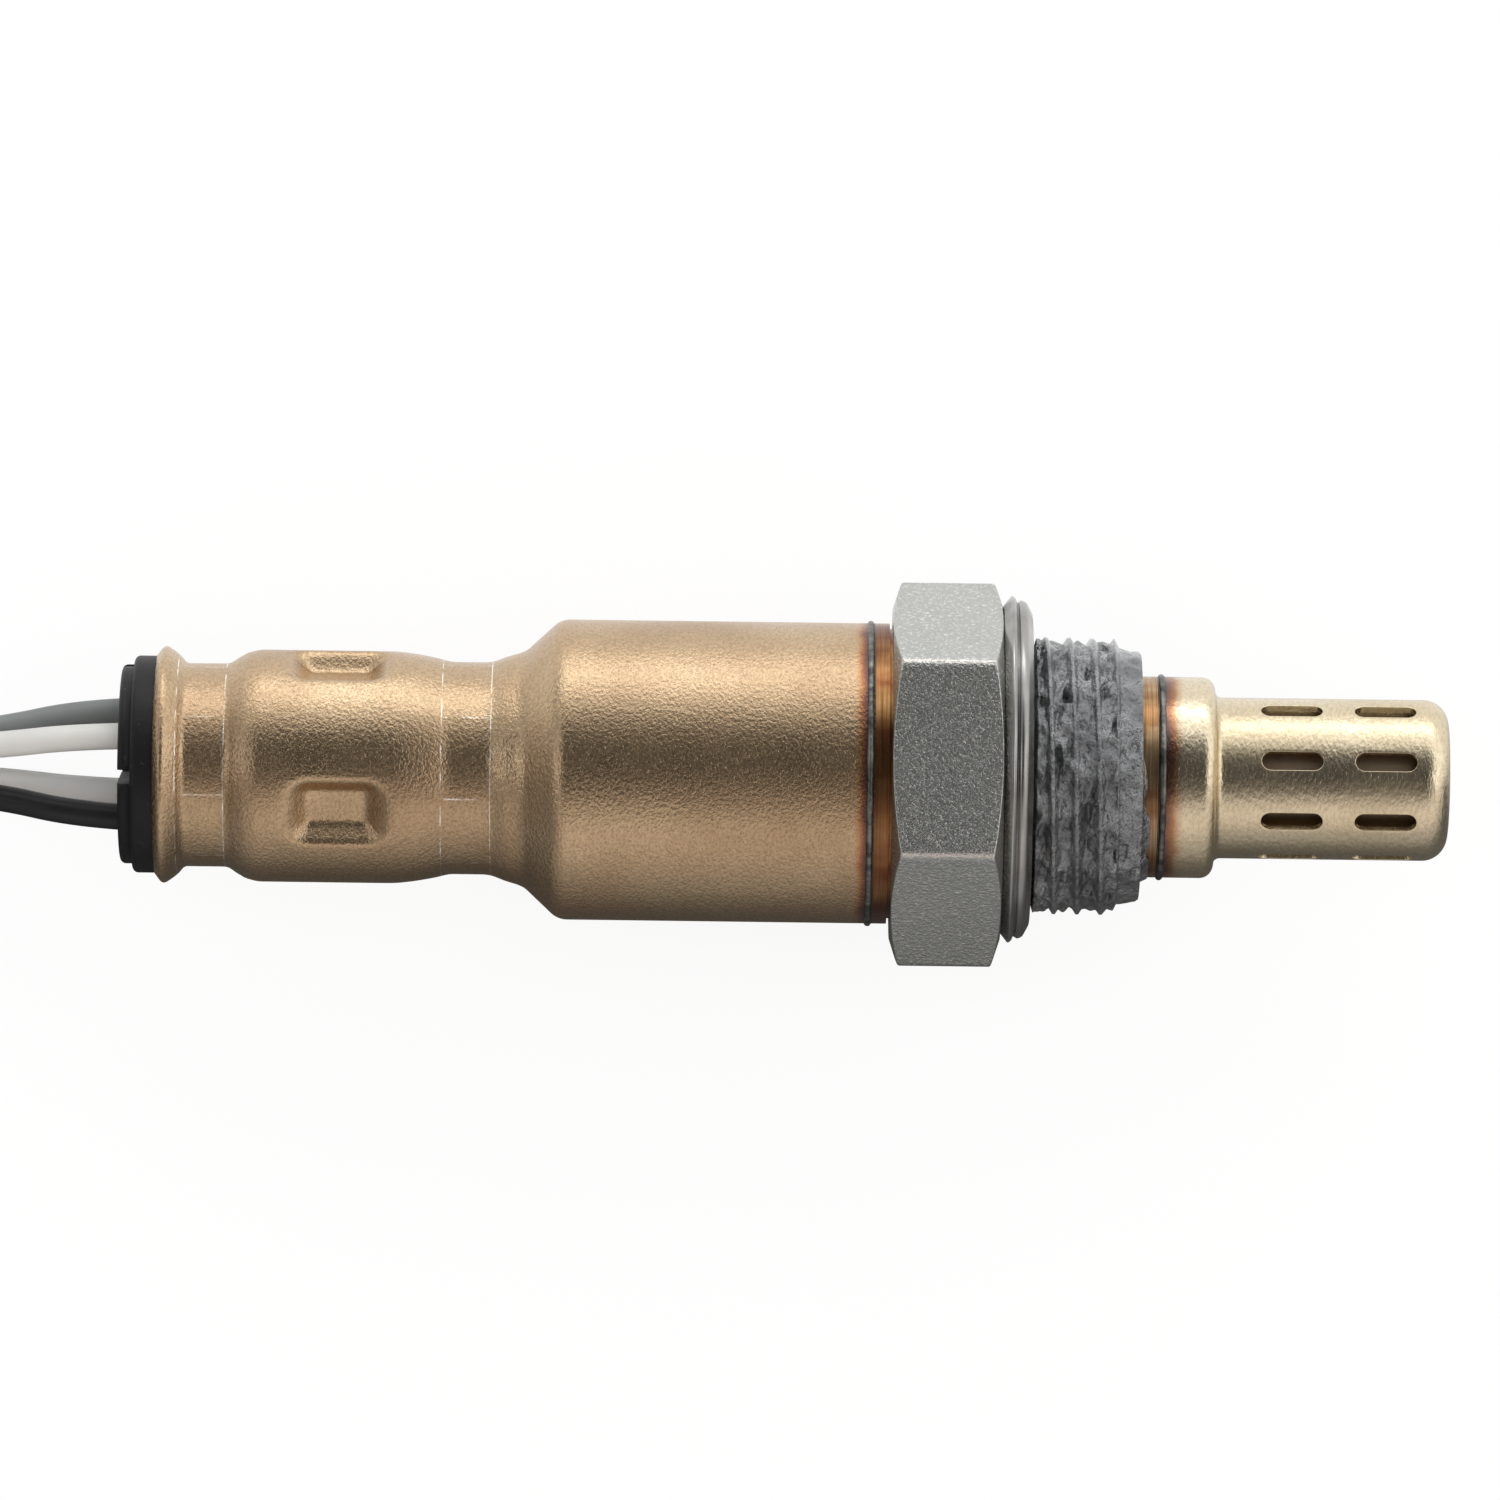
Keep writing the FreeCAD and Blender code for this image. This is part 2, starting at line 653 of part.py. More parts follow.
def make_contact(angle, leg, clip):
    """Crimp barrel, a flat leg that follows the line of (x, r) and what it ends in."""
    y, z = on_circle(wire_circle_r, angle)
    bore_r = wire_r + slip
    barrel = rod(bore_r + barrel_wall, V(barrel_rear_x, y, z), V(barrel_front_x + barrel_floor, y, z))
    barrel = barrel.cut(rod(bore_r, V(barrel_rear_x - past, y, z), V(barrel_front_x, y, z)))
    line = [(barrel_front_x + barrel_floor / 2, wire_circle_r + strip_thickness / 2)] + leg
    strip = outline_face(sheet_outline(line, strip_thickness))
    strip.translate(V(0, -strip_width / 2, 0))
    strip = about_axis(strip.extrude(V(0, strip_width, 0)), angle)
    pieces = [strip] + ([clip] if clip else [])
    return barrel.fuse(pieces).removeSplitter()


def make_contacts():
    """Two leaves on the heater's rear end, one clip inside the element and one around it."""
    leaf_r = heater_r + press + strip_thickness
    top_r = wire_circle_r + strip_thickness / 2
    seat_start = heater_rear_x + leaf_seat_start
    seat_end = seat_start + leaf_seat_length
    leaf = [(heater_rear_x - carrier_cup_gap / 2, top_r, contact_bend), (seat_start, leaf_r, contact_bend),
            (seat_end, leaf_r, contact_bend), (seat_end + leaf_tip_length, leaf_r + leaf_tip_lift)]
    inner_clip_r = element_bore_r - slip
    clip_rear_x = element_rear_x - signal_leg_end + contact_bend
    clip_front_x = element_rear_x + contact_clip_length
    inner_leg = [(element_rear_x - signal_leg_start, top_r, contact_bend),
                 (element_rear_x - signal_leg_end, inner_clip_r, contact_bend),
                 (element_rear_x - slip, inner_clip_r)]
    inner_clip = tube(inner_clip_r, heater_r + slip, clip_rear_x, clip_front_x)
    gap = box((clip_rear_x - past, -contact_slit / 2, -inner_clip_r - past),
              (clip_front_x + past, contact_slit / 2, 0))
    inner_clip = inner_clip.cut(about_axis(gap, wire_angles["wire_black"]))
    clip_in_r = element_rear_r + press
    clip_out_r = clip_in_r + strip_thickness
    outer_leg = [(element_rear_x - ground_leg_start, top_r, contact_bend),
                 (element_rear_x - ground_leg_end, clip_out_r, contact_bend),
                 (element_rear_x + ground_leg_overlap, clip_out_r)]
    outer_clip = tube(clip_out_r, clip_in_r, element_rear_x + slip, shell_rear_x - past)
    split = box((element_rear_x - past, -contact_slit, -clip_out_r - past), (shell_rear_x, contact_slit, 0))
    outer_clip = outer_clip.cut(about_axis(split, wire_angles["wire_grey"]))
    return {
        "contact_heater_a": make_contact(wire_angles["wire_white_a"], leaf, None),
        "contact_heater_b": make_contact(wire_angles["wire_white_b"], leaf, None),
        "contact_signal": make_contact(wire_angles["wire_black"], inner_leg, inner_clip),
        "contact_ground": make_contact(wire_angles["wire_grey"], outer_leg, outer_clip)}


def make_grommet():
    """Rubber plug squeezed by the rear crimp, with four holes and four raised pads outside."""
    plug_r = rear_crimp_r - sleeve_wall - slip
    plug_flat_r = rear_crimp_flat_r - sleeve_wall - slip
    foot, mouth = sheet_outline(sleeve_line(), sleeve_wall + slip)[-2:]
    disc_front_x = mouth[0] + (mouth[1] - grommet_disc_r) * flare_length / (flare_r - rear_crimp_r)
    disc_rear_x = disc_front_x - grommet_disc_length
    pad_x = disc_rear_x - grommet_pad_height
    front_x = carrier_rear_x - press
    body = turned([
        (pad_x, 0), (pad_x, grommet_pad_r, grommet_edge), (disc_rear_x, grommet_pad_r),
        (disc_rear_x, grommet_disc_r, grommet_edge), (disc_front_x, grommet_disc_r),
        foot, (front_x, plug_r), (front_x, 0)])
    for cutter in pressed_flats([(front_x + past, plug_flat_r), (rear_crimp_rear_x, plug_flat_r),
                                 (rear_crimp_rear_x - rear_crimp_run_out, plug_r + press)], rear_crimp_r):
        body = body.cut(cutter)
    half = grommet_groove_width / 2
    for turn in (0, 90):
        reach = grommet_disc_r + past
        groove = box((pad_x - past, -half, -reach), (disc_rear_x, half, reach))
        body = body.cut(about_axis(groove, grommet_groove_angle + turn))
    for angle in wire_angles.values():
        y, z = on_circle(wire_circle_r, angle)
        body = body.cut(rod(wire_r + slip, V(pad_x - past, y, z), V(front_x + past, y, z)))
    return body


def wire_points(angle):
    """Points of the bent part of one wire, from inside the grommet to the collar on the loom."""
    y, z = on_circle(wire_circle_r, angle)
    bundle_y, bundle_z = on_circle(wire_r * math.sqrt(2) + press * 2, angle)
    points = [V(wire_straight_x, y, z)]
    for (x, drop), share in zip(wire_middle, wire_spread):
        points.append(V(x, y * share, z * share + drop))
    for x in (bundle_x, loom_front_x):
        points.append(V(x, bundle_y, bundle_z + collar_axis_z))
    return points


def make_wire(name, angle):
    """One wire: straight through the grommet from its barrel, then bent down to the collar."""
    points = wire_points(angle)
    inside = rod(wire_r, V(barrel_front_x, points[0].y, points[0].z), points[0])
    return inside.fuse(swept(points, bend_radii(name, points), wire_r)).removeSplitter()


def make_collar():
    """Shrunk tube over the end of the loom, narrower where it grips the four wires."""
    small_r = wire_r * (1 + math.sqrt(2)) + 2 * slip
    line = [(collar_front_x, small_r), (loom_front_x + collar_cone_length, small_r, collar_bend),
            (loom_front_x, loom_r + press, collar_bend), (collar_front_x - collar_length, loom_r + press)]
    collar = turned(sheet_outline(line, collar_wall))
    collar.translate(V(0, 0, collar_axis_z))
    return collar


def flat_section(outline_points, radii, low_z, height):
    """A plate whose outline is a closed rounded path in the XY plane."""
    start = (outline_points[-1] + outline_points[0]) * 0.5
    edges = rounded_path([start] + outline_points + [start], radii)
    plate = Part.Face(Part.Wire(edges))
    plate.translate(V(0, 0, low_z))
    return plate.extrude(V(0, 0, height))


def waist_section(grow):
    """Rounded triangle round the three runs in the waist, two below and one lying on them."""
    half = run_spacing / 2
    corners = [V(0, -half, waist_low_z), V(0, half, waist_low_z), V(0, 0, waist_high_z)]
    triangle = Part.makePolygon(corners + [corners[0]])
    return Part.Face(triangle.makeOffset2D(loom_r + grow))


def make_hank():
    """Outer shape of the folded loom: two round end loops and the waist between them."""
    loop_r = fold_r + loom_r
    half_waist = run_spacing / 2 + loom_r
    touch_share = loop_r / (fold_r + fold_flare_r)
    touch_y = (run_spacing / 2 + fold_flare_r) * touch_share
    section = waist_section(0)
    section.translate(V(waist_left_x, 0, 0))
    plates = []
    for centre, end, height in ((left_loop_x, waist_left_x + waist_overlap, loom_d),
                                (right_loop_x, waist_right_x - waist_overlap, 2 * loom_d)):
        touch_x = centre + (end - centre) * touch_share
        corners = [V(end, -half_waist, 0), V(touch_x, -touch_y, 0), V(centre, -touch_y, 0),
                   V(centre, touch_y, 0), V(touch_x, touch_y, 0), V(end, half_waist, 0)]
        sharp = [0 for corner in corners]
        plates.append(flat_section(corners, sharp, floor_z, height))
        plates.append(Part.makeCylinder(loop_r, height, V(centre, 0, floor_z)))
    return section.extrude(V(waist_length, 0, 0)).fuse(plates).removeSplitter()


def make_tie():
    """Nylon tie round the waist, with its head on one side."""
    middle_x = (waist_right_x + waist_left_x) / 2
    run = V(tie_width, 0, 0)
    band = waist_section(tie_thickness).extrude(run).cut(waist_section(press).extrude(run))
    band.translate(V(middle_x - tie_width / 2, 0, 0))
    side_y = run_spacing / 2 + loom_r + press
    head = box((middle_x - tie_head_length / 2, side_y, waist_low_z - tie_head_height / 2),
               (middle_x + tie_head_length / 2, side_y + tie_head_width, waist_low_z + tie_head_height / 2))
    return band.fuse(head.makeFillet(tie_head_edge, head.Edges)).removeSplitter()


def long_bar(start_x, end_x, width, height, edge):
    """A bar along X on the connector's axis, its four long edges rounded."""
    bar = box((start_x, -width / 2, connector_axis_z - height / 2),
              (end_x, width / 2, connector_axis_z + height / 2))
    return bar.makeFillet(edge, [line for line in bar.Edges if line.Vertexes[0].X != line.Vertexes[1].X])


def make_housing():
    """The connector's body with its nose, latch, boot pocket and the slot for its lock plate."""
    front_x = connector_front_x
    rear_x = connector_rear_x
    block = long_bar(front_x, rear_x, connector_width, connector_height, connector_edge)
    nose = long_bar(front_x - connector_nose_length, front_x, connector_nose_width, connector_nose_height,
                    connector_edge)
    latch_x = front_x - latch_overhang
    latch_top = connector_axis_z + connector_height / 2 + latch_gap + latch_thickness
    half = latch_width / 2
    latch = box((latch_x, -half, latch_top - latch_thickness), (latch_x + latch_length, half, latch_top))
    foot_x = latch_x + latch_length - 2 * latch_foot_length
    foot = box((foot_x, -half, connector_axis_z), (foot_x + latch_foot_length, half, latch_top))
    barb_top = latch_top + latch_barb_height
    barb = box((latch_x, -half, latch_top - press), (latch_x + latch_barb_length, half, barb_top))
    housing = block.fuse([nose, latch, foot, barb]).removeSplitter()
    pocket = box((rear_x - boot_overlap, -pocket_width / 2, connector_axis_z - pocket_height / 2),
                 (rear_x + past, pocket_width / 2, connector_axis_z + pocket_height / 2))
    return housing.cut(pocket).cut(lock_plate(0, past))


def lock_plate(gap, proud):
    """The lock plate that holds the sockets, and with no gap the slot that it slides into."""
    middle_x = connector_front_x + lock_from_front
    half_x = lock_thickness / 2 - gap
    half_z = connector_nose_height / 2 - gap
    side_y = -connector_width / 2
    return box((middle_x - half_x, side_y - proud, connector_axis_z - half_z),
               (middle_x + half_x, side_y + lock_depth - gap, connector_axis_z + half_z))


def make_connector():
    """Four-way plug: housing, lock plate, ring seal on the nose and four sockets in their holes."""
    nose_x = connector_front_x - connector_nose_length
    socket_rear_x = connector_rear_x - boot_overlap - press
    housing = make_housing()
    parts = {"connector_lock": lock_plate(press, lock_proud)}
    hole_half = connector_hole / 2
    size_half = terminal_size / 2
    bore_half = size_half - terminal_wall
    names = ("socket_heater_a", "socket_heater_b", "socket_signal", "socket_ground")
    places = [(y, connector_axis_z + z) for y in (-connector_pitch_y / 2, connector_pitch_y / 2)
              for z in (-connector_pitch_z / 2, connector_pitch_z / 2)]
    for name, (y, z) in zip(names, places):
        housing = housing.cut(box((nose_x - past, y - hole_half, z - hole_half),
                                  (connector_rear_x, y + hole_half, z + hole_half)))
        socket = box((socket_rear_x - terminal_length, y - size_half, z - size_half),
                     (socket_rear_x, y + size_half, z + size_half))
        hollow = box((socket_rear_x - terminal_length - past, y - bore_half, z - bore_half),
                     (socket_rear_x - socket_bore_start, y + bore_half, z + bore_half))
        parts[name] = socket.cut(hollow)
    parts["connector_housing"] = housing
    seal_front_x = connector_front_x - connector_seal_length - press
    grow = 2 * connector_seal_wall
    seal = long_bar(seal_front_x, connector_front_x - press, connector_nose_width + grow,
                    connector_nose_height + grow, connector_edge + connector_seal_wall)
    core = long_bar(seal_front_x - past, connector_front_x + past, connector_nose_width + 2 * press,
                    connector_nose_height + 2 * press, connector_edge)
    parts["connector_seal"] = seal.cut(core)
    return parts


def make_boot():
    """Rubber boot, rectangular in the housing and tapering to the loom."""
    shoulder_x = connector_rear_x + boot_shoulder
    plug = box((connector_rear_x - boot_overlap + press, -pocket_width / 2 + slip,
                connector_axis_z - pocket_height / 2 + slip),
               (shoulder_x, pocket_width / 2 - slip, connector_axis_z + pocket_height / 2 - slip))
    wide_r = pocket_height / 2 - 2 * press
    wide = Part.Wire([Part.Circle(V(shoulder_x, 0, connector_axis_z), X_AXIS, wide_r).toShape()])
    narrow = Part.Wire([Part.Circle(V(boot_end_x, 0, waist_high_z), X_AXIS, boot_tail_r).toShape()])
    cone = Part.makeLoft([wide, narrow], True, True)
    hole_end_x = boot_end_x - boot_grip
    hole = rod(loom_r + press, V(hole_end_x, 0, waist_high_z), V(boot_end_x + past, 0, waist_high_z))
    return plug.fuse(cone).cut(hole).removeSplitter()


def make_all():
    """Every piece, by the name of its node."""
    pieces = {
        "metal_shell": make_shell(),
        "crush_gasket": make_gasket(),
        "outer_sleeve": make_sleeve(),
        "outer_protector": make_outer_protector(),
        "inner_protector": make_inner_protector(),
        "zirconia_element": make_element(),
        "heater_rod": tube(heater_r, 0, heater_rear_x, heater_tip_x()),
        "packing_ring": make_packing_ring(),
        "contact_carrier": make_carrier(),
        "carrier_spring": make_carrier_spring(),
        "grommet": make_grommet(),
        "loom_collar": make_collar(),
        "loom_hank": make_hank(),
        "hank_tie": make_tie(),
        "connector_boot": make_boot()}
    pieces.update(seal_stack())
    pieces.update(make_contacts())
    pieces.update(make_connector())
    for name, angle in wire_angles.items():
        pieces[name] = make_wire(name, angle)
    lead = rod(loom_r, V(loom_front_x, 0, collar_axis_z), V(hank_right_x - loom_r, 0, collar_axis_z))
    pieces["loom_lead"] = lead.cut(pieces["loom_hank"])
    tail_end_x = boot_end_x - boot_grip
    pieces["loom_tail"] = rod(loom_r, V(waist_left_x, 0, waist_high_z), V(tail_end_x, 0, waist_high_z))
    return pieces


os.makedirs("parts", exist_ok=True)
for name, shape in make_all().items():
    if shape.ShapeType == "Compound" and len(shape.Solids) == 1:
        shape = shape.Solids[0]
    size = shape.BoundBox
    print("%-18s solids %d valid %s volume %9.2f  x %.2f..%.2f  z %.2f..%.2f" % (
        name, len(shape.Solids), shape.isValid(), shape.Volume, size.XMin, size.XMax, size.ZMin, size.ZMax))
    shape.exportStep("parts/%s.step" % name)
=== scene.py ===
# Heated oxygen sensor for an exhaust pipe, lying on a bench on one flat of its hex, its lead tied in a
# hank behind it. +X runs to the nose, +Z is up, and the origin is on the axis at the gasket's face.
import bmesh
import bpy
import math
import mathutils
import numpy as np
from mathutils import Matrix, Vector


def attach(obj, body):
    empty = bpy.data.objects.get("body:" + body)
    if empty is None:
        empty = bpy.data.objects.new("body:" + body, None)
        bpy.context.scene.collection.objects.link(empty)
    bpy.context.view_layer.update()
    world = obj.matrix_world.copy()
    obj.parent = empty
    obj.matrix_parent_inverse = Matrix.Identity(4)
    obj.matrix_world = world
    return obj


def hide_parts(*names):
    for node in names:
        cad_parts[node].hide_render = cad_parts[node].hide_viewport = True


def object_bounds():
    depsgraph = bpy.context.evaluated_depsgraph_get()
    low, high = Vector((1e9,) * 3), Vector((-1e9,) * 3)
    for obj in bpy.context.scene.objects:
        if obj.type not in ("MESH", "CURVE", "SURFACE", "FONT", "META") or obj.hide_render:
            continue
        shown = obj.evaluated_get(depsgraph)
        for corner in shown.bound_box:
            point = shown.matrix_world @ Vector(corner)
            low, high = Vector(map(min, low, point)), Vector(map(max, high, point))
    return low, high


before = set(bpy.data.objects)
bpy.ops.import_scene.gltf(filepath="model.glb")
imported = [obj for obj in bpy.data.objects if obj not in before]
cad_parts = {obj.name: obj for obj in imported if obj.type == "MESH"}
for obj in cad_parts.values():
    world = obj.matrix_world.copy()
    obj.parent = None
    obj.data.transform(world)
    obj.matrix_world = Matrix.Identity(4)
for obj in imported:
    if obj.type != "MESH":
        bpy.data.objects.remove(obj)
cad_box = [list(corner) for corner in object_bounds()]
mm = 0.001   # sizes are in millimetres, and this turns them into Blender's metres


# The bench and its light: a white sheet under a light tent. The tent is white behind the sensor, warm grey
# in front and dark round the lens above. The sheet carries a painted reflection: to reflected rays its glow
# is dark in a strip under the sensor, grey in front and white behind, so that turned metal has a painted
# dark band. The camera looks almost straight down.
floor_z = cad_box[0][2]
photo_pixels = 1500
pixels_per_mm = 15.55
view_centre = (-18.04 * mm, 1.41 * mm, 0.0)
view_elevation = math.radians(84.4)
view_roll = math.radians(0.74)
view_distance = 0.78
lamp_target = (-0.02, 0.0, 0.0)
sheet_glow = 0.88
sheet_half = 4         # metres
sheet_gap = 0.02 * mm  # under the lowest point, so that the two don't share a plane
bpy.context.scene.view_settings.view_transform = "Standard"


def linear(colour):
    """A hex sRGB colour as linear red, green, blue and alpha."""
    shares = [int(colour[place:place + 2], 16) / 255 for place in (0, 2, 4)]
    return tuple(s / 12.92 if s <= 0.04045 else ((s + 0.055) / 1.055) ** 2.4 for s in shares) + (1.0,)


def add(tree, kind, inputs=(), stops=(), out=0, to=None, **settings):
    """Adds a node and gives one of its outputs, which it links on where a socket is given. The inputs, in
    order or by socket, are values, hex colours or other nodes' outputs, and stops are a ramp's colours."""
    made = tree.nodes.new("ShaderNode" + kind)
    for name, value in settings.items():
        setattr(made, name, value)
    for name, value in (inputs if isinstance(inputs, dict) else dict(enumerate(inputs))).items():
        if isinstance(value, bpy.types.NodeSocket):
            tree.links.new(value, made.inputs[name])
        else:
            made.inputs[name].default_value = linear(value) if isinstance(value, str) else value
    for number, (place, colour) in enumerate(stops):
        ramp = made.color_ramp.elements
        stop = ramp[number] if number < len(ramp) else ramp.new(place)
        stop.position = place
        stop.color = linear(colour)
    if to:
        tree.links.new(made.outputs[out], to)
    return made.outputs[out]


def looking_down():
    """The camera: its long side spans 1500 pixels of the photograph at the sensor's axis."""
    data = bpy.data.cameras.new("camera")
    data.sensor_width = 36.0
    data.lens = data.sensor_width * view_distance * pixels_per_mm / (photo_pixels * mm)
    data.clip_start = 0.05
    camera = bpy.data.objects.new("camera", data)
    back = np.array((0, -math.cos(view_elevation), math.sin(view_elevation)))
    level_up = np.array((0, math.sin(view_elevation), math.cos(view_elevation)))
    level_right = np.array((1.0, 0, 0))
    right = level_right * math.cos(view_roll) + level_up * math.sin(view_roll)
    up = level_up * math.cos(view_roll) - level_right * math.sin(view_roll)
    matrix = np.eye(4)
    matrix[:3, :4] = np.stack((right, up, back, np.array(view_centre) + back * view_distance), 1)
    camera.matrix_world = mathutils.Matrix(matrix)
    bpy.context.collection.objects.link(camera)
    bpy.context.scene.camera = camera


def lamp(name, place, width, height, brightness):
    """A soft lamp of that brightness, aimed at the sensor: 1 is as bright as white paper."""
    data = bpy.data.lights.new(name, "AREA")
    data.shape = "RECTANGLE"
    data.size = width
    data.size_y = height
    data.energy = brightness * math.pi * width * height
    made = bpy.data.objects.new(name, data)
    made.location = place
    aim = np.array(lamp_target) - np.array(place)
    made.rotation_euler = (math.acos(-aim[2] / np.linalg.norm(aim)), 0, math.atan2(-aim[0], aim[1]))
    made.visible_camera = False
    bpy.context.collection.objects.link(made)
    return made


looking_down()
lamp("lamp_behind", (0.0, 0.60, 0.16), 0.7, 0.16, 1.6)
lamp("lamp_above", (0.0, -0.05, 0.7), 0.7, 0.5, 0.9).visible_glossy = False
lamp("lamp_lead_end", (-0.50, 0.0, 0.46), 0.22, 0.40, 0.9)
lamp("lamp_nose_end", (0.46, 0.0, 0.50), 0.22, 0.40, 0.7)

tent = bpy.data.worlds.new("tent")
tent.use_nodes = True
bpy.context.scene.world = tent
nodes = tent.node_tree
background = nodes.nodes["Background"].inputs
split = add(nodes, "SeparateXYZ", [add(nodes, "TexCoord", out="Generated")]).node.outputs
behind = add(nodes, "ValToRGB", [split["Z"]], stops=(
    (0.0, "ffffff"), (0.64, "ffffff"), (0.77, "9c9c9c"), (0.87, "525252"), (1.0, "303030")))
in_front = add(nodes, "ValToRGB", [split["Z"]], stops=(
    (0.0, "9c9794"), (0.2, "c0bab7"), (0.5, "d8d1cd"), (0.77, "c0bab7"), (0.87, "7c7876"), (1.0, "303030")))
side = add(nodes, "MapRange", [split["Y"], -0.3, 0.3])
add(nodes, "Mix", {0: side, 6: in_front, 7: behind}, out=2, to=background["Color"], data_type="RGBA")
add(nodes, "MapRange", [split["X"], -0.9, -0.1, 0.4, 1.4], to=background["Strength"])

sheet = bpy.data.materials.new("paper_sheet")
sheet.use_nodes = True
nodes = sheet.node_tree
nodes.nodes.remove(nodes.nodes["Principled BSDF"])
paper = add(nodes, "BsdfDiffuse", ["707070"])
ray = add(nodes, "LightPath").node.outputs
seen = add(nodes, "Math", [ray["Is Camera Ray"], ray["Is Transmission Ray"]], operation="MAXIMUM")
glow = add(nodes, "Math", [seen, sheet_glow], operation="MULTIPLY")
across = add(nodes, "SeparateXYZ", [add(nodes, "TexCoord", out="Object")], out="Y")
# Painted reflection: what glossy rays see of the sheet's glow, dark under the sensor, grey in front, white
# behind.
painted_reflection = add(nodes, "ValToRGB", [add(nodes, "MapRange", [across, -0.1, 0.1])], stops=(
    (0.0, "a4a4a4"), (0.22, "8e8e8e"), (0.32, "5a5a5a"), (0.42, "101010"), (0.48, "101010"), (0.56, "fafafa"),
    (1.0, "fafafa")))
glow = add(nodes, "Math", [ray["Is Glossy Ray"], painted_reflection, glow], operation="MULTIPLY_ADD")
white = add(nodes, "Emission", {"Strength": glow})
add(nodes, "AddShader", [paper, white], to=nodes.nodes["Material Output"].inputs["Surface"])
sides = ((-1, -1), (1, -1), (1, 1), (-1, 1))
corners = [(x * sheet_half, y * sheet_half, floor_z - sheet_gap) for x, y in sides]
bench_mesh = bpy.data.meshes.new("bench")
bench_mesh.from_pydata(corners, [], [(0, 1, 2, 3)])
bench_mesh.materials.append(sheet)
bench = bpy.data.objects.new("bench", bench_mesh)
bpy.context.collection.objects.link(bench)


# The four insulated wires: stranded copper in extruded plastic, two white for the heater, grey for
# earth and black for the signal. They leave the grommet on one circle and close up to the loom.
wire_r = 0.85 * mm
wire_circle_r = 4.0
bundle_r = wire_r / mm * math.sqrt(2) + 0.02
wire_start_x = -53.0
wires_end_x = (-93.0, -100.0)
wire_angles = {"wire_white_a": 22, "wire_grey": 112, "wire_white_b": 202, "wire_black": 292}  # from +Z to +Y
wire_middle = [(-60.0, 0.0), (-67.5, -0.5), (-77.0, -3.0), (-86.0, -6.4)]    # x and z of the bundle's middle
wire_spread = [1.0, 0.53, 0.38, 0.33]    # how much of the circle at the grommet is left there
collar_axis_z = -7.8


def finish_base(name, colour, **sockets):
    """A material with its shader's own sockets set, and the tree, the shader's inputs and the place on the
    piece to add nodes to."""
    made = bpy.data.materials.new(name)
    made.use_nodes = True
    surface = made.node_tree.nodes["Principled BSDF"].inputs
    surface["Base Color"].default_value = linear(colour)
    for socket, value in sockets.items():
        surface[socket.replace("_", " ")].default_value = value
    return made, made.node_tree, surface, add(made.node_tree, "TexCoord", out="Object")


def grain(size):
    """The scale of a noise whose grains are about that size: one cell of the noise holds two of them."""
    return 0.5 / (size * mm)


def insulation(name, colour, shade):
    """Extruded fluoropolymer: smooth and waxy, with faint smudges and a slow waviness from its strands."""
    made, tree, surface, place = finish_base(name, colour, Roughness=0.38, IOR=1.4, Specular_IOR_Level=0.5)
    smudges = add(tree, "TexNoise", {"Vector": place, "Scale": grain(3.0), "Detail": 3.0})
    smudged = add(tree, "MapRange", [smudges, 0.4, 0.7, 0.0, 1.0])
    add(tree, "Mix", {0: smudged, 6: colour, 7: shade}, out=2, to=surface["Base Color"], data_type="RGBA")
    waxy = add(tree, "TexNoise", {"Vector": place, "Scale": grain(1.2)})
    add(tree, "MapRange", [waxy, 0.3, 0.7, 0.3, 0.5], to=surface["Roughness"])
    strands = add(tree, "TexNoise", {"Vector": place, "Scale": grain(0.8), "Detail": 3.0})
    add(tree, "Bump", {"Height": strands, "Distance": 0.03 * mm}, to=surface["Normal"])
    return made


wire_finish = {
    "wire_white_a": insulation("white_insulation", "f4f4f1", "e8e7e1"),
    "wire_grey": insulation("grey_insulation", "8d9190", "7c8281"),
    "wire_black": insulation("black_insulation", "18181a", "222224")}
wire_finish["wire_white_b"] = wire_finish["wire_white_a"]


def spline(name, points, radius, material):
    """A cord on a smooth line that has these points, in metres, as its control points."""
    curve = bpy.data.curves.new(name, "CURVE")
    curve.dimensions = "3D"
    curve.bevel_depth = radius
    curve.bevel_resolution = 8
    curve.resolution_u = 24
    curve.use_fill_caps = True
    line = curve.splines.new("NURBS")
    line.points.add(len(points) - 1)
    line.points.foreach_set("co", np.hstack((points, np.ones((len(points), 1)))).ravel())
    line.order_u = 3
    line.use_endpoint_u = True
    if material:
        curve.materials.append(material)
    made = bpy.data.objects.new(name, curve)
    bpy.context.collection.objects.link(made)
    return made


wires = {}
for node_name, angle in wire_angles.items():
    across = math.sin(math.radians(angle))
    above = math.cos(math.radians(angle))
    route = [(wire_start_x, wire_circle_r * across, wire_circle_r * above)]
    route += [(x, wire_circle_r * across * share, wire_circle_r * above * share + z)
              for (x, z), share in zip(wire_middle, wire_spread)]
    route += [(x, bundle_r * across, bundle_r * above + collar_axis_z) for x in wires_end_x]
    wires[node_name] = spline("insulated_" + node_name, np.array(route) * mm, wire_r, wire_finish[node_name])


# The loom: the four wires in a braided glass-fibre sleeve, 5 mm thick. It is folded into a hank: two
# runs side by side in the waist, a third on top of them, and a round fold at each end.
loom_r = 2.5 * mm
loom_sides = 32
braid_repeats = 8
fold_r = 15.75
left_fold_x = -181.8
right_fold_x = -123.7
loom_route = [(-100.0, 0.0, 3.0), (-104.0, 0.0, 2.6), (-110.0, 0.2, 2.5), (-118.0, 0.3, 2.5),
              (-127.0, -0.6, 2.5), (-136.0, -1.8, 2.7), (-144.0, -2.6, 3.3), (-152.5, -2.6, 3.6),
              (-158.5, -2.9, 3.5), (-164.5, -5.2, 3.0), (-170.3, -9.8, 2.5)]
left_turns = np.radians((-66, -94, -123, -151, -180, -209, -237, -266, -294))
loom_route += [(left_fold_x + fold_r * math.cos(turn), fold_r * math.sin(turn), 2.5) for turn in left_turns]
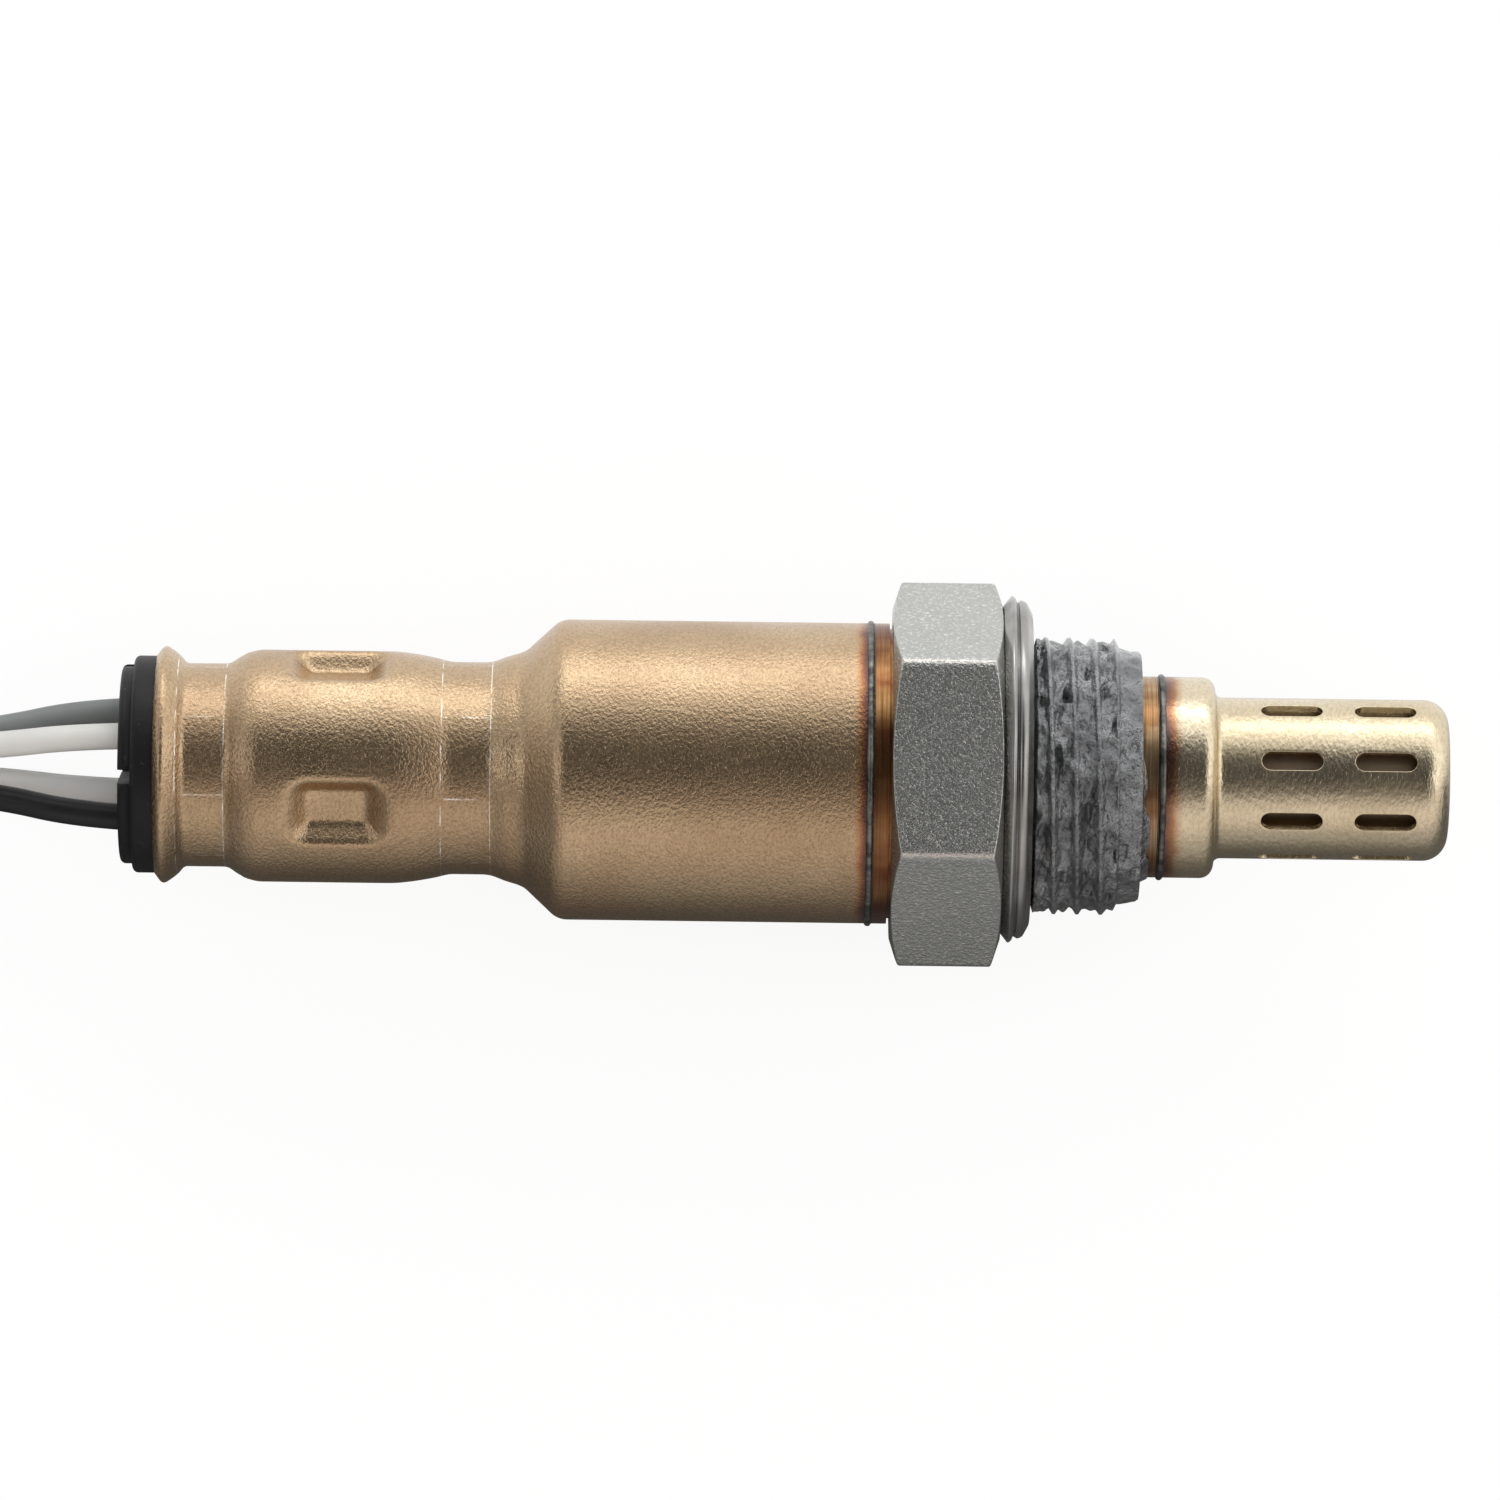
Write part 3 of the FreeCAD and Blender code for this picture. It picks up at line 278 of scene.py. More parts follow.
loom_route += [(-170.3, 9.8, 2.5), (-164.5, 5.2, 3.0), (-158.5, 2.9, 3.5), (-152.5, 2.6, 3.6),
               (-146.5, 2.9, 3.5), (-141.0, 5.2, 3.0), (-135.2, 9.8, 2.5)]
right_turns = np.radians((114, 86, 60, 36, 13, -13, -36, -60, -86, -114))
right_heights = (2.5, 2.6, 3.4, 5.6, 7.9, 7.9, 5.6, 3.4, 2.6, 3.0)
loom_route += [(right_fold_x + fold_r * math.cos(turn), fold_r * math.sin(turn), height)
               for turn, height in zip(right_turns, right_heights)]
loom_route += [(-135.2, -9.8, 4.6), (-141.0, -6.0, 7.3), (-146.8, -2.2, 8.3), (-153.0, 0.0, 7.87),
               (-159.0, 0.0, 7.87), (-164.75, 0.0, 7.87)]
loom_points = np.array(loom_route) * mm + np.array((0, 0, floor_z))


def centreline(points):
    """Points along the smooth line that has the given control points, as Blender evaluates it."""
    bare = spline("route", points, 0.0, None)
    bare.data.resolution_u = 16
    mesh = bpy.data.meshes.new_from_object(bare.evaluated_get(bpy.context.evaluated_depsgraph_get()))
    line = np.empty(len(mesh.vertices) * 3)
    mesh.vertices.foreach_get("co", line)
    bpy.data.objects.remove(bare)
    return line.reshape(-1, 3)


def grid_quads(shape, loop_rows=True, loop_columns=True):
    """The quads of a grid of points, as indices. Rows and columns close on themselves unless told not to."""
    index = np.arange(shape[0] * shape[1]).reshape(shape)
    below = np.roll(index, -1, 0)
    quads = np.stack((index, np.roll(index, -1, 1), np.roll(below, -1, 1), below), -1)
    return quads[:None if loop_rows else -1, :None if loop_columns else -1].reshape(-1, 4)


def quad_mesh(name, points, quads, material, crease=40):
    """A mesh object of those quads, shaded smooth except over edges sharper than the crease."""
    mesh = bpy.data.meshes.new(name)
    mesh.vertices.add(len(points))
    mesh.vertices.foreach_set("co", points.ravel())
    mesh.loops.add(quads.size)
    mesh.loops.foreach_set("vertex_index", quads.ravel())
    mesh.polygons.add(len(quads))
    mesh.polygons.foreach_set("loop_start", np.arange(0, quads.size, 4))
    mesh.update(calc_edges=True)
    mesh.shade_smooth()
    mesh.set_sharp_from_angle(angle=math.radians(crease))
    mesh.materials.append(material)
    made = bpy.data.objects.new(name, mesh)
    bpy.context.collection.objects.link(made)
    return made


def grid_mesh(name, points, material, loop_rows=True, loop_columns=True, crease=40):
    """A mesh over a grid of points of shape rows by columns by three."""
    quads = grid_quads(points.shape[:2], loop_rows, loop_columns)
    return quad_mesh(name, points.reshape(-1, 3), quads, material, crease)


def braid():
    """Woven glass fibre in black varnish: crossing flat strands 0.9 mm wide, dull, with a dry sheen."""
    made, tree, surface, place = finish_base("glass_braid", "1c1c1e", Roughness=0.62, Sheen_Weight=0.15)
    both_ways = add(tree, "SeparateXYZ", [place.node.outputs["UV"]]).node.outputs
    strands = []
    for side in (1, -1):
        slant = add(tree, "Math", [both_ways["X"], side, both_ways["Y"]], operation="MULTIPLY_ADD")
        wave = add(tree, "Math", [slant, 2 * math.pi], operation="MULTIPLY")
        strands.append(add(tree, "Math", [wave], operation="SINE"))
    over = add(tree, "Math", strands, operation="MAXIMUM")
    under = add(tree, "Math", strands, operation="MULTIPLY")
    weave = add(tree, "Math", [under, 0.5, over], operation="MULTIPLY_ADD")
    # Painted shade: the weave is darker where the strands dip under each other.
    lit = add(tree, "MapRange", [weave, -0.6, 1.2, 0.0, 1.0])
    add(tree, "Mix", {0: lit, 6: "101011", 7: "38383a"}, out=2, to=surface["Base Color"], data_type="RGBA")
    add(tree, "Bump", {"Height": weave, "Distance": 0.12 * mm}, to=surface["Normal"])
    return made


def braided_tube(name, line, radius, material):
    """A round tube along the line: each point's circle stands square to the run and level at its sides. Its
    UV map counts the braid's repeats round the tube and, as long, along it."""
    ahead = np.gradient(line, axis=0)
    ahead /= np.linalg.norm(ahead, axis=1, keepdims=True)
    side = np.cross((0, 0, 1.0), ahead)
    side /= np.linalg.norm(side, axis=1, keepdims=True)
    up = np.cross(ahead, side)
    around = np.linspace(0, 2 * math.pi, loom_sides + 1)
    circle = side[:, None] * np.cos(around)[:, None] + up[:, None] * np.sin(around)[:, None]
    made = grid_mesh(name, line[:, None] + circle * radius, material, loop_rows=False, loop_columns=False)
    steps = np.linalg.norm(np.diff(line, axis=0, prepend=line[:1]), axis=1)
    turns, runs = np.broadcast_arrays(around, np.cumsum(steps)[:, None] / radius)
    corner = np.empty(len(made.data.loops), int)
    made.data.loops.foreach_get("vertex_index", corner)
    repeats = np.stack((turns, runs), -1).reshape(-1, 2) / (2 * math.pi) * braid_repeats
    made.data.uv_layers.new(name="weave").data.foreach_set("uv", repeats[corner].ravel())
    return made


loom_line = centreline(loom_points)
loom = braided_tube("braided_loom", loom_line, loom_r, braid())
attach(loom, "root")
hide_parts("loom_lead", "loom_hank", "loom_tail")


# The pieces on the lead: a shrunk tube where the wires enter the loom, a nylon tie round the hank and
# the four-way connector with its boot, seal and lock plate. All are moulded, and the tie is cut short.
def smooth_copy(node, material, crease=35):
    """A copy of a node's own mesh with its doubles merged and its round faces shaded smooth."""
    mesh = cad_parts[node].data.copy()
    mesh.name = node + "_finished"
    made = bpy.data.objects.new(node + "_finished", mesh)
    bpy.context.collection.objects.link(made)
    weld = made.modifiers.new("weld", "WELD")
    weld.merge_threshold = 0.001 * mm
    welded = bpy.data.meshes.new_from_object(made.evaluated_get(bpy.context.evaluated_depsgraph_get()))
    made.modifiers.clear()
    made.data = welded
    welded.shade_smooth()
    welded.set_sharp_from_angle(angle=math.radians(crease))
    welded.materials.clear()
    welded.materials.append(material)
    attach(made, "root")
    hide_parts(node)
    return made


def moulded(name, colour, rough, grain_mm=0.25, depth_mm=0.012):
    """Moulded plastic or rubber: the mould's fine spark-eroded grain, and a gloss that varies slowly."""
    made, tree, surface, place = finish_base(name, colour, Roughness=rough)
    rubbed = add(tree, "TexNoise", {"Vector": place, "Scale": grain(4.0), "Detail": 3.0})
    add(tree, "MapRange", [rubbed, 0.3, 0.7, rough - 0.08, rough + 0.12], to=surface["Roughness"])
    sparks = add(tree, "TexNoise", {"Vector": place, "Scale": grain(grain_mm), "Detail": 3.0})
    add(tree, "Bump", {"Height": sparks, "Distance": depth_mm * mm}, to=surface["Normal"])
    return made


shrink = moulded("shrunk_polyolefin", "161617", 0.42, 0.6, 0.02)
nylon = moulded("nylon_tie", "1b1b1c", 0.38)
plastic = moulded("glass_filled_nylon", "2a2b2d", 0.45)
seal_rubber = moulded("silicone_seal", "8a4a2c", 0.5)
lock_plastic = moulded("lock_plate_nylon", "b9b4a4", 0.4)
collar = smooth_copy("loom_collar", shrink)
tie = smooth_copy("hank_tie", nylon)
housing = smooth_copy("connector_housing", plastic)
boot = smooth_copy("connector_boot", moulded("boot_rubber", "19191a", 0.55))
seal = smooth_copy("connector_seal", seal_rubber)
lock = smooth_copy("connector_lock", lock_plastic)

for node_name, wire in wires.items():
    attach(wire, "root")
    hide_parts(node_name)


# The shell: hex, ring, threaded shaft and spigot turned from one bar. The hex keeps its blasted and
# zinc-grey plated grain, its edges are worn bright, and the ring is left as turned, tempered copper-red
# by the weld beside it.
hex_flat_r = 10.8
hex_corner_r = 12.35
hex_front_x = -1.87
hex_rear_x = -8.97
hex_length = 7.1
hex_end_zone = 0.8    # each end has fine rows there, for its chamfer and worn rim
hex_face_r = 10.65
hex_chamfer = 0.55
rounds = 336
theta = np.arange(rounds) * 2 * math.pi / rounds


def rounded_line(corners, step, closed=True):
    """Points no further apart than step along straight runs and arcs. A corner is (x, r, bend radius)."""
    corner = np.array([(c[0], c[1], c[2] if len(c) > 2 else 0.0) for c in corners])
    before = np.roll(corner, 1, 0)[:, :2] - corner[:, :2]
    after = np.roll(corner, -1, 0)[:, :2] - corner[:, :2]
    before /= np.linalg.norm(before, axis=1, keepdims=True)
    after /= np.linalg.norm(after, axis=1, keepdims=True)
    half = np.arccos(np.clip((before * after).sum(1), -1, 1)) / 2
    line = []
    for place, bend, one, other, angle in zip(corner[:, :2], corner[:, 2], before, after, half):
        if bend <= 0:
            line.append(place[None])
            continue
        inward = (one + other) / np.linalg.norm(one + other)
        centre = place + inward * bend / math.sin(angle)
        start = place + one * bend / math.tan(angle) - centre
        end = place + other * bend / math.tan(angle) - centre
        sweep = math.pi - 2 * angle
        share = np.linspace(0, 1, max(3, int(sweep * bend / step) + 2))[:, None]
        arc = (start * np.sin((1 - share) * sweep) + end * np.sin(share * sweep)) / math.sin(sweep)
        line.append(centre + arc)
    line = np.vstack(line)
    ends = np.roll(line, -1, 0) if closed else line[1:]
    starts = line if closed else line[:-1]
    runs = [np.linspace(a, b, max(2, int(np.linalg.norm(b - a) / step) + 1), endpoint=False)
            for a, b in zip(starts, ends)]
    return np.vstack(runs if closed else runs + [line[-1:]])


def turned(line, radius=None, angles=theta):
    """Points of a profile of (x, r) in millimetres carried round the axis, from +Z towards +Y, in metres.
    The radius may be a grid of its own, one value for each point of the profile and each angle."""
    x = np.broadcast_to(line[:, :1], (len(line), len(angles)))
    r = np.broadcast_to(line[:, 1:2], x.shape) if radius is None else radius
    return np.stack((x, r * np.sin(angles), r * np.cos(angles)), -1) * mm


def least(*values, soft=0.04):
    """The least of several radii, with the edges between them rounded."""
    return -soft * np.log(sum(np.exp(-value / soft) for value in values))


def from_middle(count, first=0.0):
    """Each angle's distance from the middle of its own share of the circle."""
    share = 2 * math.pi / count
    return (theta - math.radians(first) + share / 2) % share - share / 2


shell_line = rounded_line([
    (hex_rear_x, 9.3), (-9.17, 9.3), (-9.17, 9.65), (-10.07, 9.65), (-10.07, 9.07), (-15.47, 9.07, 1.5),
    (-15.47, 5.1), (-14.47, 5.1), (-14.47, 6.4), (-0.6, 6.4), (1.2, 4.6), (10.3, 4.6), (10.3, 6.03),
    (8.03, 6.03), (8.03, 6.46), (7.0, 6.46), (7.0, 7.85), (hex_front_x, 7.85), (hex_front_x, hex_face_r),
    (hex_rear_x, hex_face_r)], 0.35)

# The hex is the least of its six flats, its chamfer's cone and the round of the bar it was forged from.
on_hex = (shell_line[:, 1] == hex_face_r) & (shell_line[:, 0] < hex_front_x + 1e-6)
flat = hex_flat_r / np.cos(from_middle(6))
ends = np.concatenate((np.linspace(0, hex_end_zone, 24),
                       np.linspace(hex_end_zone, hex_length - hex_end_zone, 12)[1:-1],
                       hex_length - np.linspace(hex_end_zone, 0, 24)))
hex_x = hex_front_x - ends
from_end = np.minimum(ends, hex_length - ends)[:, None]
cone = hex_face_r + from_end * (hex_corner_r - hex_face_r) / hex_chamfer
hex_r = least(flat[None], least(cone, np.full_like(cone, hex_corner_r + 0.03), soft=0.12), soft=0.03)
first, last = np.flatnonzero(on_hex)[[0, -1]]
shell_x = np.concatenate((shell_line[:first, 0], hex_x, shell_line[last + 1:, 0]))
plain_r = np.broadcast_to(shell_line[:, 1:2], (len(shell_line), rounds))
shell_radius = np.vstack((plain_r[:first], hex_r, plain_r[last + 1:]))


def blasted_steel():
    """Steel blasted with coarse grit and plated a dull zinc grey, its pits 0.12 mm wide in the bump. Pale
    specks on the pits' high points are painted highlights for their glints, and the edges are rubbed to the
    bare metal."""
    made, tree, surface, place = finish_base("blasted_zinc_grey_steel", "a3a39f", Metallic=1.0,
                                             Roughness=0.31)
    pits = add(tree, "TexNoise", {"Vector": place, "Scale": grain(0.12), "Roughness": 0.8})
    # Painted highlights: pale specks where the pits stand highest.
    painted_glint = add(tree, "MapRange", [pits, 0.52, 0.74, 0.0, 1.0])
    tone = add(tree, "Mix", {0: painted_glint, 6: "b0b2ae", 7: "f4f2ec"}, out=2, data_type="RGBA")
    clouds = add(tree, "TexNoise", {"Vector": place, "Scale": grain(2.5), "Detail": 3.0})
    cloud = add(tree, "MapRange", [clouds, 0.3, 0.7, 0.0, 0.35])
    tone = add(tree, "Mix", {0: cloud, 6: tone, 7: "c4c4bf"}, out=2, data_type="RGBA")
    worn = add(tree, "Attribute", out="Fac", attribute_name="wear")
    rags = add(tree, "TexNoise", {"Vector": place, "Scale": grain(0.25), "Detail": 3.0})
    ragged = add(tree, "MapRange", [rags, 0.3, 0.7, -0.35, 0.35])
    bare = add(tree, "MapRange", [add(tree, "Math", [worn, ragged], operation="ADD"), 0.45, 0.7, 0.0, 0.6])
    add(tree, "Mix", {0: bare, 6: tone, 7: "cfc9c0"}, out=2, to=surface["Base Color"], data_type="RGBA")
    add(tree, "MapRange", [bare, 0.0, 1.0, 0.31, 0.25], to=surface["Roughness"])
    add(tree, "Bump", {"Height": pits, "Distance": 0.075 * mm}, to=surface["Normal"])
    return made


def turned_ring_steel(name, dark, bright):
    """Steel as it left the lathe, with rings 0.05 mm apart, tempered copper and straw by the weld's heat. Its
    front half, towards -Y, has painted shade in a darker brown."""
    made, tree, surface, place = finish_base(name, bright, Metallic=1.0, Roughness=0.3)
    lathe = add(tree, "Mapping", {"Vector": place, "Scale": (1, 0.02, 0.02)})
    rings = add(tree, "TexNoise", {"Vector": lathe, "Scale": grain(0.05)})
    drift = add(tree, "Mapping", {"Vector": place, "Scale": (0.5, 1, 1)})
    smoke = add(tree, "TexNoise", {"Vector": drift, "Scale": grain(1.2), "Detail": 4.0})
    smoked = add(tree, "MapRange", [smoke, 0.35, 0.65, 0.0, 1.0])
    tone = add(tree, "Mix", {0: smoked, 6: dark, 7: bright}, out=2, data_type="RGBA")
    grooved = add(tree, "MapRange", [rings, 0.4, 0.75, 0.0, 0.7])
    tone = add(tree, "Mix", {0: grooved, 6: tone, 7: "4c2a1c"}, out=2, data_type="RGBA")
    # Painted shade: the front half, towards -Y and away from the lamp behind, is mixed towards dark brown.
    across = add(tree, "SeparateXYZ", [place], out="Y")
    painted_front_shade = add(tree, "MapRange", [across, -4 * mm, 3 * mm, 0.6, 0.0])
    add(tree, "Mix", {0: painted_front_shade, 6: tone, 7: "5c3527"}, out=2, to=surface["Base Color"], data_type="RGBA")
    add(tree, "Bump", {"Height": rings, "Distance": 0.02 * mm}, to=surface["Normal"])
    return made


shell_points = turned(np.stack((shell_x, shell_x), 1), shell_radius)
shell = grid_mesh("steel_shell", shell_points, blasted_steel(), crease=50)
shell.data.materials.append(turned_ring_steel("tempered_turned_steel", "7c4f34", "b98f5c"))
shell.data.materials.append(turned_ring_steel("straw_turned_steel", "a07a54", "dcc39a"))
face_x = np.empty(len(shell.data.polygons) * 3)
shell.data.polygons.foreach_get("center", face_x)
face_x = face_x.reshape(-1, 3)[:, 0] / mm
shell.data.polygons.foreach_set("material_index", (face_x < -9.0) + 2 * (face_x > 7.05))

# Wear falls off as a bell curve from the hex's six edges and, weaker, from the rims of its two ends.
edge_wear_width = 0.16
rim_wear_width = 0.05
near_edge = np.abs(from_middle(6, 30)) * 12.4
edge_wear = np.exp(-(near_edge / edge_wear_width) ** 2)[None] * (hex_r > 11.6)
rim_wear = 0.48 * np.exp(-((from_end - 0.02) / rim_wear_width) ** 2)
wear = np.zeros(shell_radius.shape)
wear[first:first + len(hex_r)] = np.maximum(edge_wear, rim_wear)
shell.data.attributes.new("wear", "FLOAT", "POINT").data.foreach_set("value", wear.ravel())
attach(shell, "root")
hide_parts("metal_shell")


# The thread, M18 x 1.5, rolled on the shaft and smeared with anti-seize paste: a grey graphite grease
# that fills the thread, stands in ridges where it was wiped and leaves voids where it tore.
pitch = 1.5
crest_r = 8.9
root_r = 7.95
thread_length = 7.0
paste_foot_r = 7.9
paste_top_r = 9.15
paste_level_r = 8.5
thread_start = 0.553    # turns, so that the crests stand where the photo shows them
paste_x = np.linspace(0.0, thread_length, 150)


def waves(x, angle, seed, rows):
    """A smooth random height over the shaft: a sum of waves whose directions and phases are drawn once."""
    draw = np.random.default_rng(seed)
    count = 6
    total = 0
    for long, round_count, size in rows:
        phase = draw.uniform(0, 2 * math.pi, count)
        lean = draw.uniform(-1, 1, count)
        around = np.round(round_count * draw.uniform(0.4, 1.2, count))
        for number in range(count):
            slope = x * 2 * math.pi / long * lean[number]
            total = total + size * np.sin(slope + around[number] * angle + phase[number])
    return total / count


# The paste's radius is the greater of the thread's teeth and a lumpy level that sinks where voids are. The
# end's chamfer cuts it off, and it fades to the shaft at both ends. Smears run out on the neck.
angle_grid = theta[None]
x_grid = paste_x[:, None]
turns = x_grid / pitch - (math.pi / 2 - angle_grid) / (2 * math.pi) - thread_start
tooth = 1 - 2 * np.abs(turns - np.round(turns))
thread_height = root_r + (crest_r - root_r) * np.clip(tooth * 1.25 - 0.1, 0, 1)
lumps = waves(x_grid, angle_grid, 7, [(6.0, 3, 0.22), (2.5, 8, 0.2), (1.1, 20, 0.28), (0.55, 40, 0.26)])
voids = waves(x_grid, angle_grid, 21, [(2.2, 7, 1.0), (1.0, 16, 0.6)])
level = paste_level_r + lumps - 0.7 * np.clip((voids - 0.38) * 6, 0, 1)
fade = np.clip(x_grid / 0.25, 0, 1) * np.clip((thread_length - x_grid) / 0.12, 0, 1)
chamfer = np.interp(x_grid, (5.15, 5.6, 7.0), (9.1, 8.22, 7.95)) + 0.3 * (level - paste_level_r)
paste_r = least(-least(-thread_height, -level, soft=0.05), chamfer, soft=0.05)
paste_r = np.minimum(paste_foot_r + (paste_r - paste_foot_r) * fade, paste_top_r)
paste_points = turned(np.stack((paste_x, paste_x), 1), paste_r)
smear = 0.3 - 1.2 * np.sin(theta) + waves(np.zeros(1), theta, 5, [(1.0, 11, 1.4)])
end_face = turned(np.array([(7.03, 7.4), (7.05, 6.8), (7.05, 6.56), (6.9, 6.4)]))
end_face[2, :, 0] += 0.5 * np.clip(smear, 0, 1) * mm
under = turned(np.array([(6.9, 7.8), (4.6, 7.8), (2.3, 7.8), (0.0, 7.8)]))
paste_points = np.vstack((paste_points, end_face, under))


def graphite_paste():
    """Grease full of graphite and metal flake: dark grey and half shiny, with glints, crumbs in its bump and
    painted shade in their pits.
    """
    made, tree, surface, place = finish_base("graphite_paste", "636465", Metallic=0.9, Roughness=0.35,
                                             Coat_Weight=0.6, Coat_Roughness=0.18)
    smears = add(tree, "TexNoise", {"Vector": place, "Scale": grain(1.2)})
    flaky = add(tree, "MapRange", [smears, 0.35, 0.65, 0.0, 1.0])
    tone = add(tree, "Mix", {0: flaky, 6: "6e7072", 7: "9c9ea0"}, out=2, data_type="RGBA")
    crumbs = add(tree, "TexNoise", {"Vector": place, "Scale": grain(0.13), "Detail": 3.0, "Roughness": 0.7})
    # Painted shade: the crumbs' pits, the low points of the bump, are darkened.
    painted_pit_shade = add(tree, "MapRange", [crumbs, 0.34, 0.45, 0.7, 0.0])
    add(tree, "Mix", {0: painted_pit_shade, 6: tone, 7: "2c2d2e"}, out=2, to=surface["Base Color"], data_type="RGBA")
    add(tree, "MapRange", [smears, 0.3, 0.7, 0.34, 0.2], to=surface["Roughness"])
    fine = add(tree, "Bump", {"Height": crumbs, "Distance": 0.2 * mm})
    dabs = add(tree, "TexNoise", {"Vector": place, "Scale": grain(0.3)})
    add(tree, "Bump", {"Height": dabs, "Distance": 0.27 * mm, "Normal": fine}, to=surface["Normal"])
    return made


paste = grid_mesh("thread_with_paste", paste_points, graphite_paste(), crease=70)
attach(paste, "root")


# The gasket: one strip of soft steel folded into three layers and pressed flat, bright from the die.
# Its lip flares towards the hex and its front fold is the bead that seals on the exhaust boss.
def rolled_steel(name, colour, dark, rough):
    """Bright rolled steel with fine rings from the die round it, 0.06 mm apart, and slight stains."""
    made, tree, surface, place = finish_base(name, colour, Metallic=1.0, Roughness=rough)
    drawn = add(tree, "Mapping", {"Vector": place, "Scale": (1, 0.03, 0.03)})
    rings = add(tree, "TexNoise", {"Vector": drawn, "Scale": grain(0.06)})
    stains = add(tree, "TexNoise", {"Vector": place, "Scale": grain(1.5), "Detail": 4.0})
    stained = add(tree, "MapRange", [stains, 0.4, 0.75, 0.0, 0.6])
    add(tree, "Mix", {0: stained, 6: colour, 7: dark}, out=2, to=surface["Base Color"], data_type="RGBA")
    add(tree, "MapRange", [stains, 0.3, 0.7, rough - 0.05, rough + 0.1], to=surface["Roughness"])
    add(tree, "Bump", {"Height": rings, "Distance": 0.008 * mm}, to=surface["Normal"])
    return made


gasket_offset_y = 0.38
gasket_line = rounded_line([
    (0.0, 8.93), (0.0, 10.0, 0.4), (-0.46, 10.87, 0.5), (-0.88, 10.87, 0.3), (-0.98, 10.66, 0.05),
    (-1.09, 10.98, 0.08), (-1.32, 11.19, 0.1), (-1.87, 10.5, 0.12), (-1.87, 8.6, 0.55), (-0.71, 8.6, 0.3),
    (-0.71, 10.3, 0.1), (-0.44, 10.3, 0.1), (-0.44, 8.93)], 0.08)
gasket_points = turned(gasket_line) + np.array((0, gasket_offset_y * mm, 0))
die_bright = rolled_steel("die_bright_steel", "a8a7a4", "777572", 0.2)
gasket = grid_mesh("folded_gasket", gasket_points, die_bright, crease=50)
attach(gasket, "root")
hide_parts("crush_gasket")


# The sleeve: a deep-drawn stainless tube, blasted to a fine matt grain and tempered to a bronze gold.
# Eight jaws crimp it over the ceramic carrier and again over the grommet, four dimples hold the carrier,
# and its front end is laser-welded to the shell.
sleeve_wall = 0.55
jaw_count = 8
jaw_marks = (-54.72, -51.65, -37.75, -34.6)
front_crimp_x = -35.98
rear_crimp_x = -52.7
dimple_x = -44.37
dimple_first_angle = -30
dimple_floor_r = 6.15
dimple_half_length = 1.7
dimple_half_width = 0.95
dimple_slope = 1.2
dimple_foot_round = 0.4
sleeve_line = rounded_line([
    (-10.07, 9.65), (-30.27, 9.65, 1.5), (-32.62, 7.46, 1.3), (-49.57, 7.46, 2.2), (-50.92, 7.12, 0.8),
    (-54.77, 7.12, 0.6), (-55.67, 7.72, 0.3), (-56.22, 7.0, 0.12), (-56.0, 6.72, 0.1), (-55.55, 6.98, 0.2),
    (-54.85, 6.57, 0.8), (-50.95, 6.57, 0.8), (-49.6, 6.91, 0.8), (-32.3, 6.91, 1.0), (-30.0, 9.1, 1.2),
    (-10.07, 9.1)], 0.2)

# One row in four is enough inside and where the tube is plain. Inner rows are lifted by the wall, formed as
# the outer ones are, and set back.
outer_count = int(np.argmin(sleeve_line[:, 0])) + 1
row = np.arange(len(sleeve_line))
plain = (row >= outer_count + 6) | ((sleeve_line[:, 0] > -28) & (sleeve_line[:, 0] < -11.5))
sleeve_line = sleeve_line[~plain | (row % 4 == 0)]
outer_count = int(np.argmin(sleeve_line[:, 0])) + 1
lift = np.where(np.arange(len(sleeve_line)) < outer_count, 0.0, sleeve_wall)
lift[sleeve_line[:, 0] < -55.0] = 0.0


def press_line(corners):
    """Depth of a crimp's flats at each row of the sleeve, far out where there is no crimp."""
    line = rounded_line(corners, 0.1, closed=False)[::-1]
    return np.interp(sleeve_line[:, 0], line[:, 0], line[:, 1], left=99, right=99)[:, None]


def formed_sleeve():
    """Radius at each row and angle: the least of the drawn tube, the jaws' flats and the dimples' wedges."""
    tube = np.broadcast_to((sleeve_line[:, 1] + lift)[:, None], (len(sleeve_line), rounds))
    jaws = 0.035 * (from_middle(jaw_count)[None] * jaw_count / math.pi) ** 2
    front = press_line([(-31.9, 8.6), (-32.98, 7.5, 1.5), (-34.68, 6.82, 2.5), (-37.28, 6.82, 2.5),
                        (-38.18, 7.06, 4.0), (-40.28, 7.5, 4.0), (-42.0, 8.2)])
    rear = press_line([(-50.2, 7.7), (-50.6, 7.16, 0.5), (-51.5, 6.53, 0.8), (-54.3, 6.53, 0.3),
                       (-54.8, 7.16, 0.3), (-55.1, 7.7)])
    past_front = np.abs(sleeve_line[:, :1] - front_crimp_x) - 1.4
    past_rear = np.abs(sleeve_line[:, :1] - rear_crimp_x) - 1.3
    outside = np.clip(np.minimum(past_front, past_rear), 0, 1)
    turn = np.abs(from_middle(4, dimple_first_angle))[None]
    from_end = np.clip(np.abs(sleeve_line[:, :1] - dimple_x) - dimple_half_length, 0, None)
    dimple = np.broadcast_to(dimple_floor_r, tube.shape)
    for settle in range(6):
        from_side = np.clip(dimple * np.sin(turn) - dimple_half_width, 0, None)
        rise = np.sqrt(from_end ** 2 + from_side ** 2 + dimple_foot_round ** 2) - dimple_foot_round
        dimple = (dimple_floor_r + dimple_slope * rise) / np.cos(turn)
    crimped = least(tube, front + jaws, rear + jaws, soft=0.02 + 0.1 * outside)
    return least(crimped, dimple, soft=0.26) - lift[:, None]


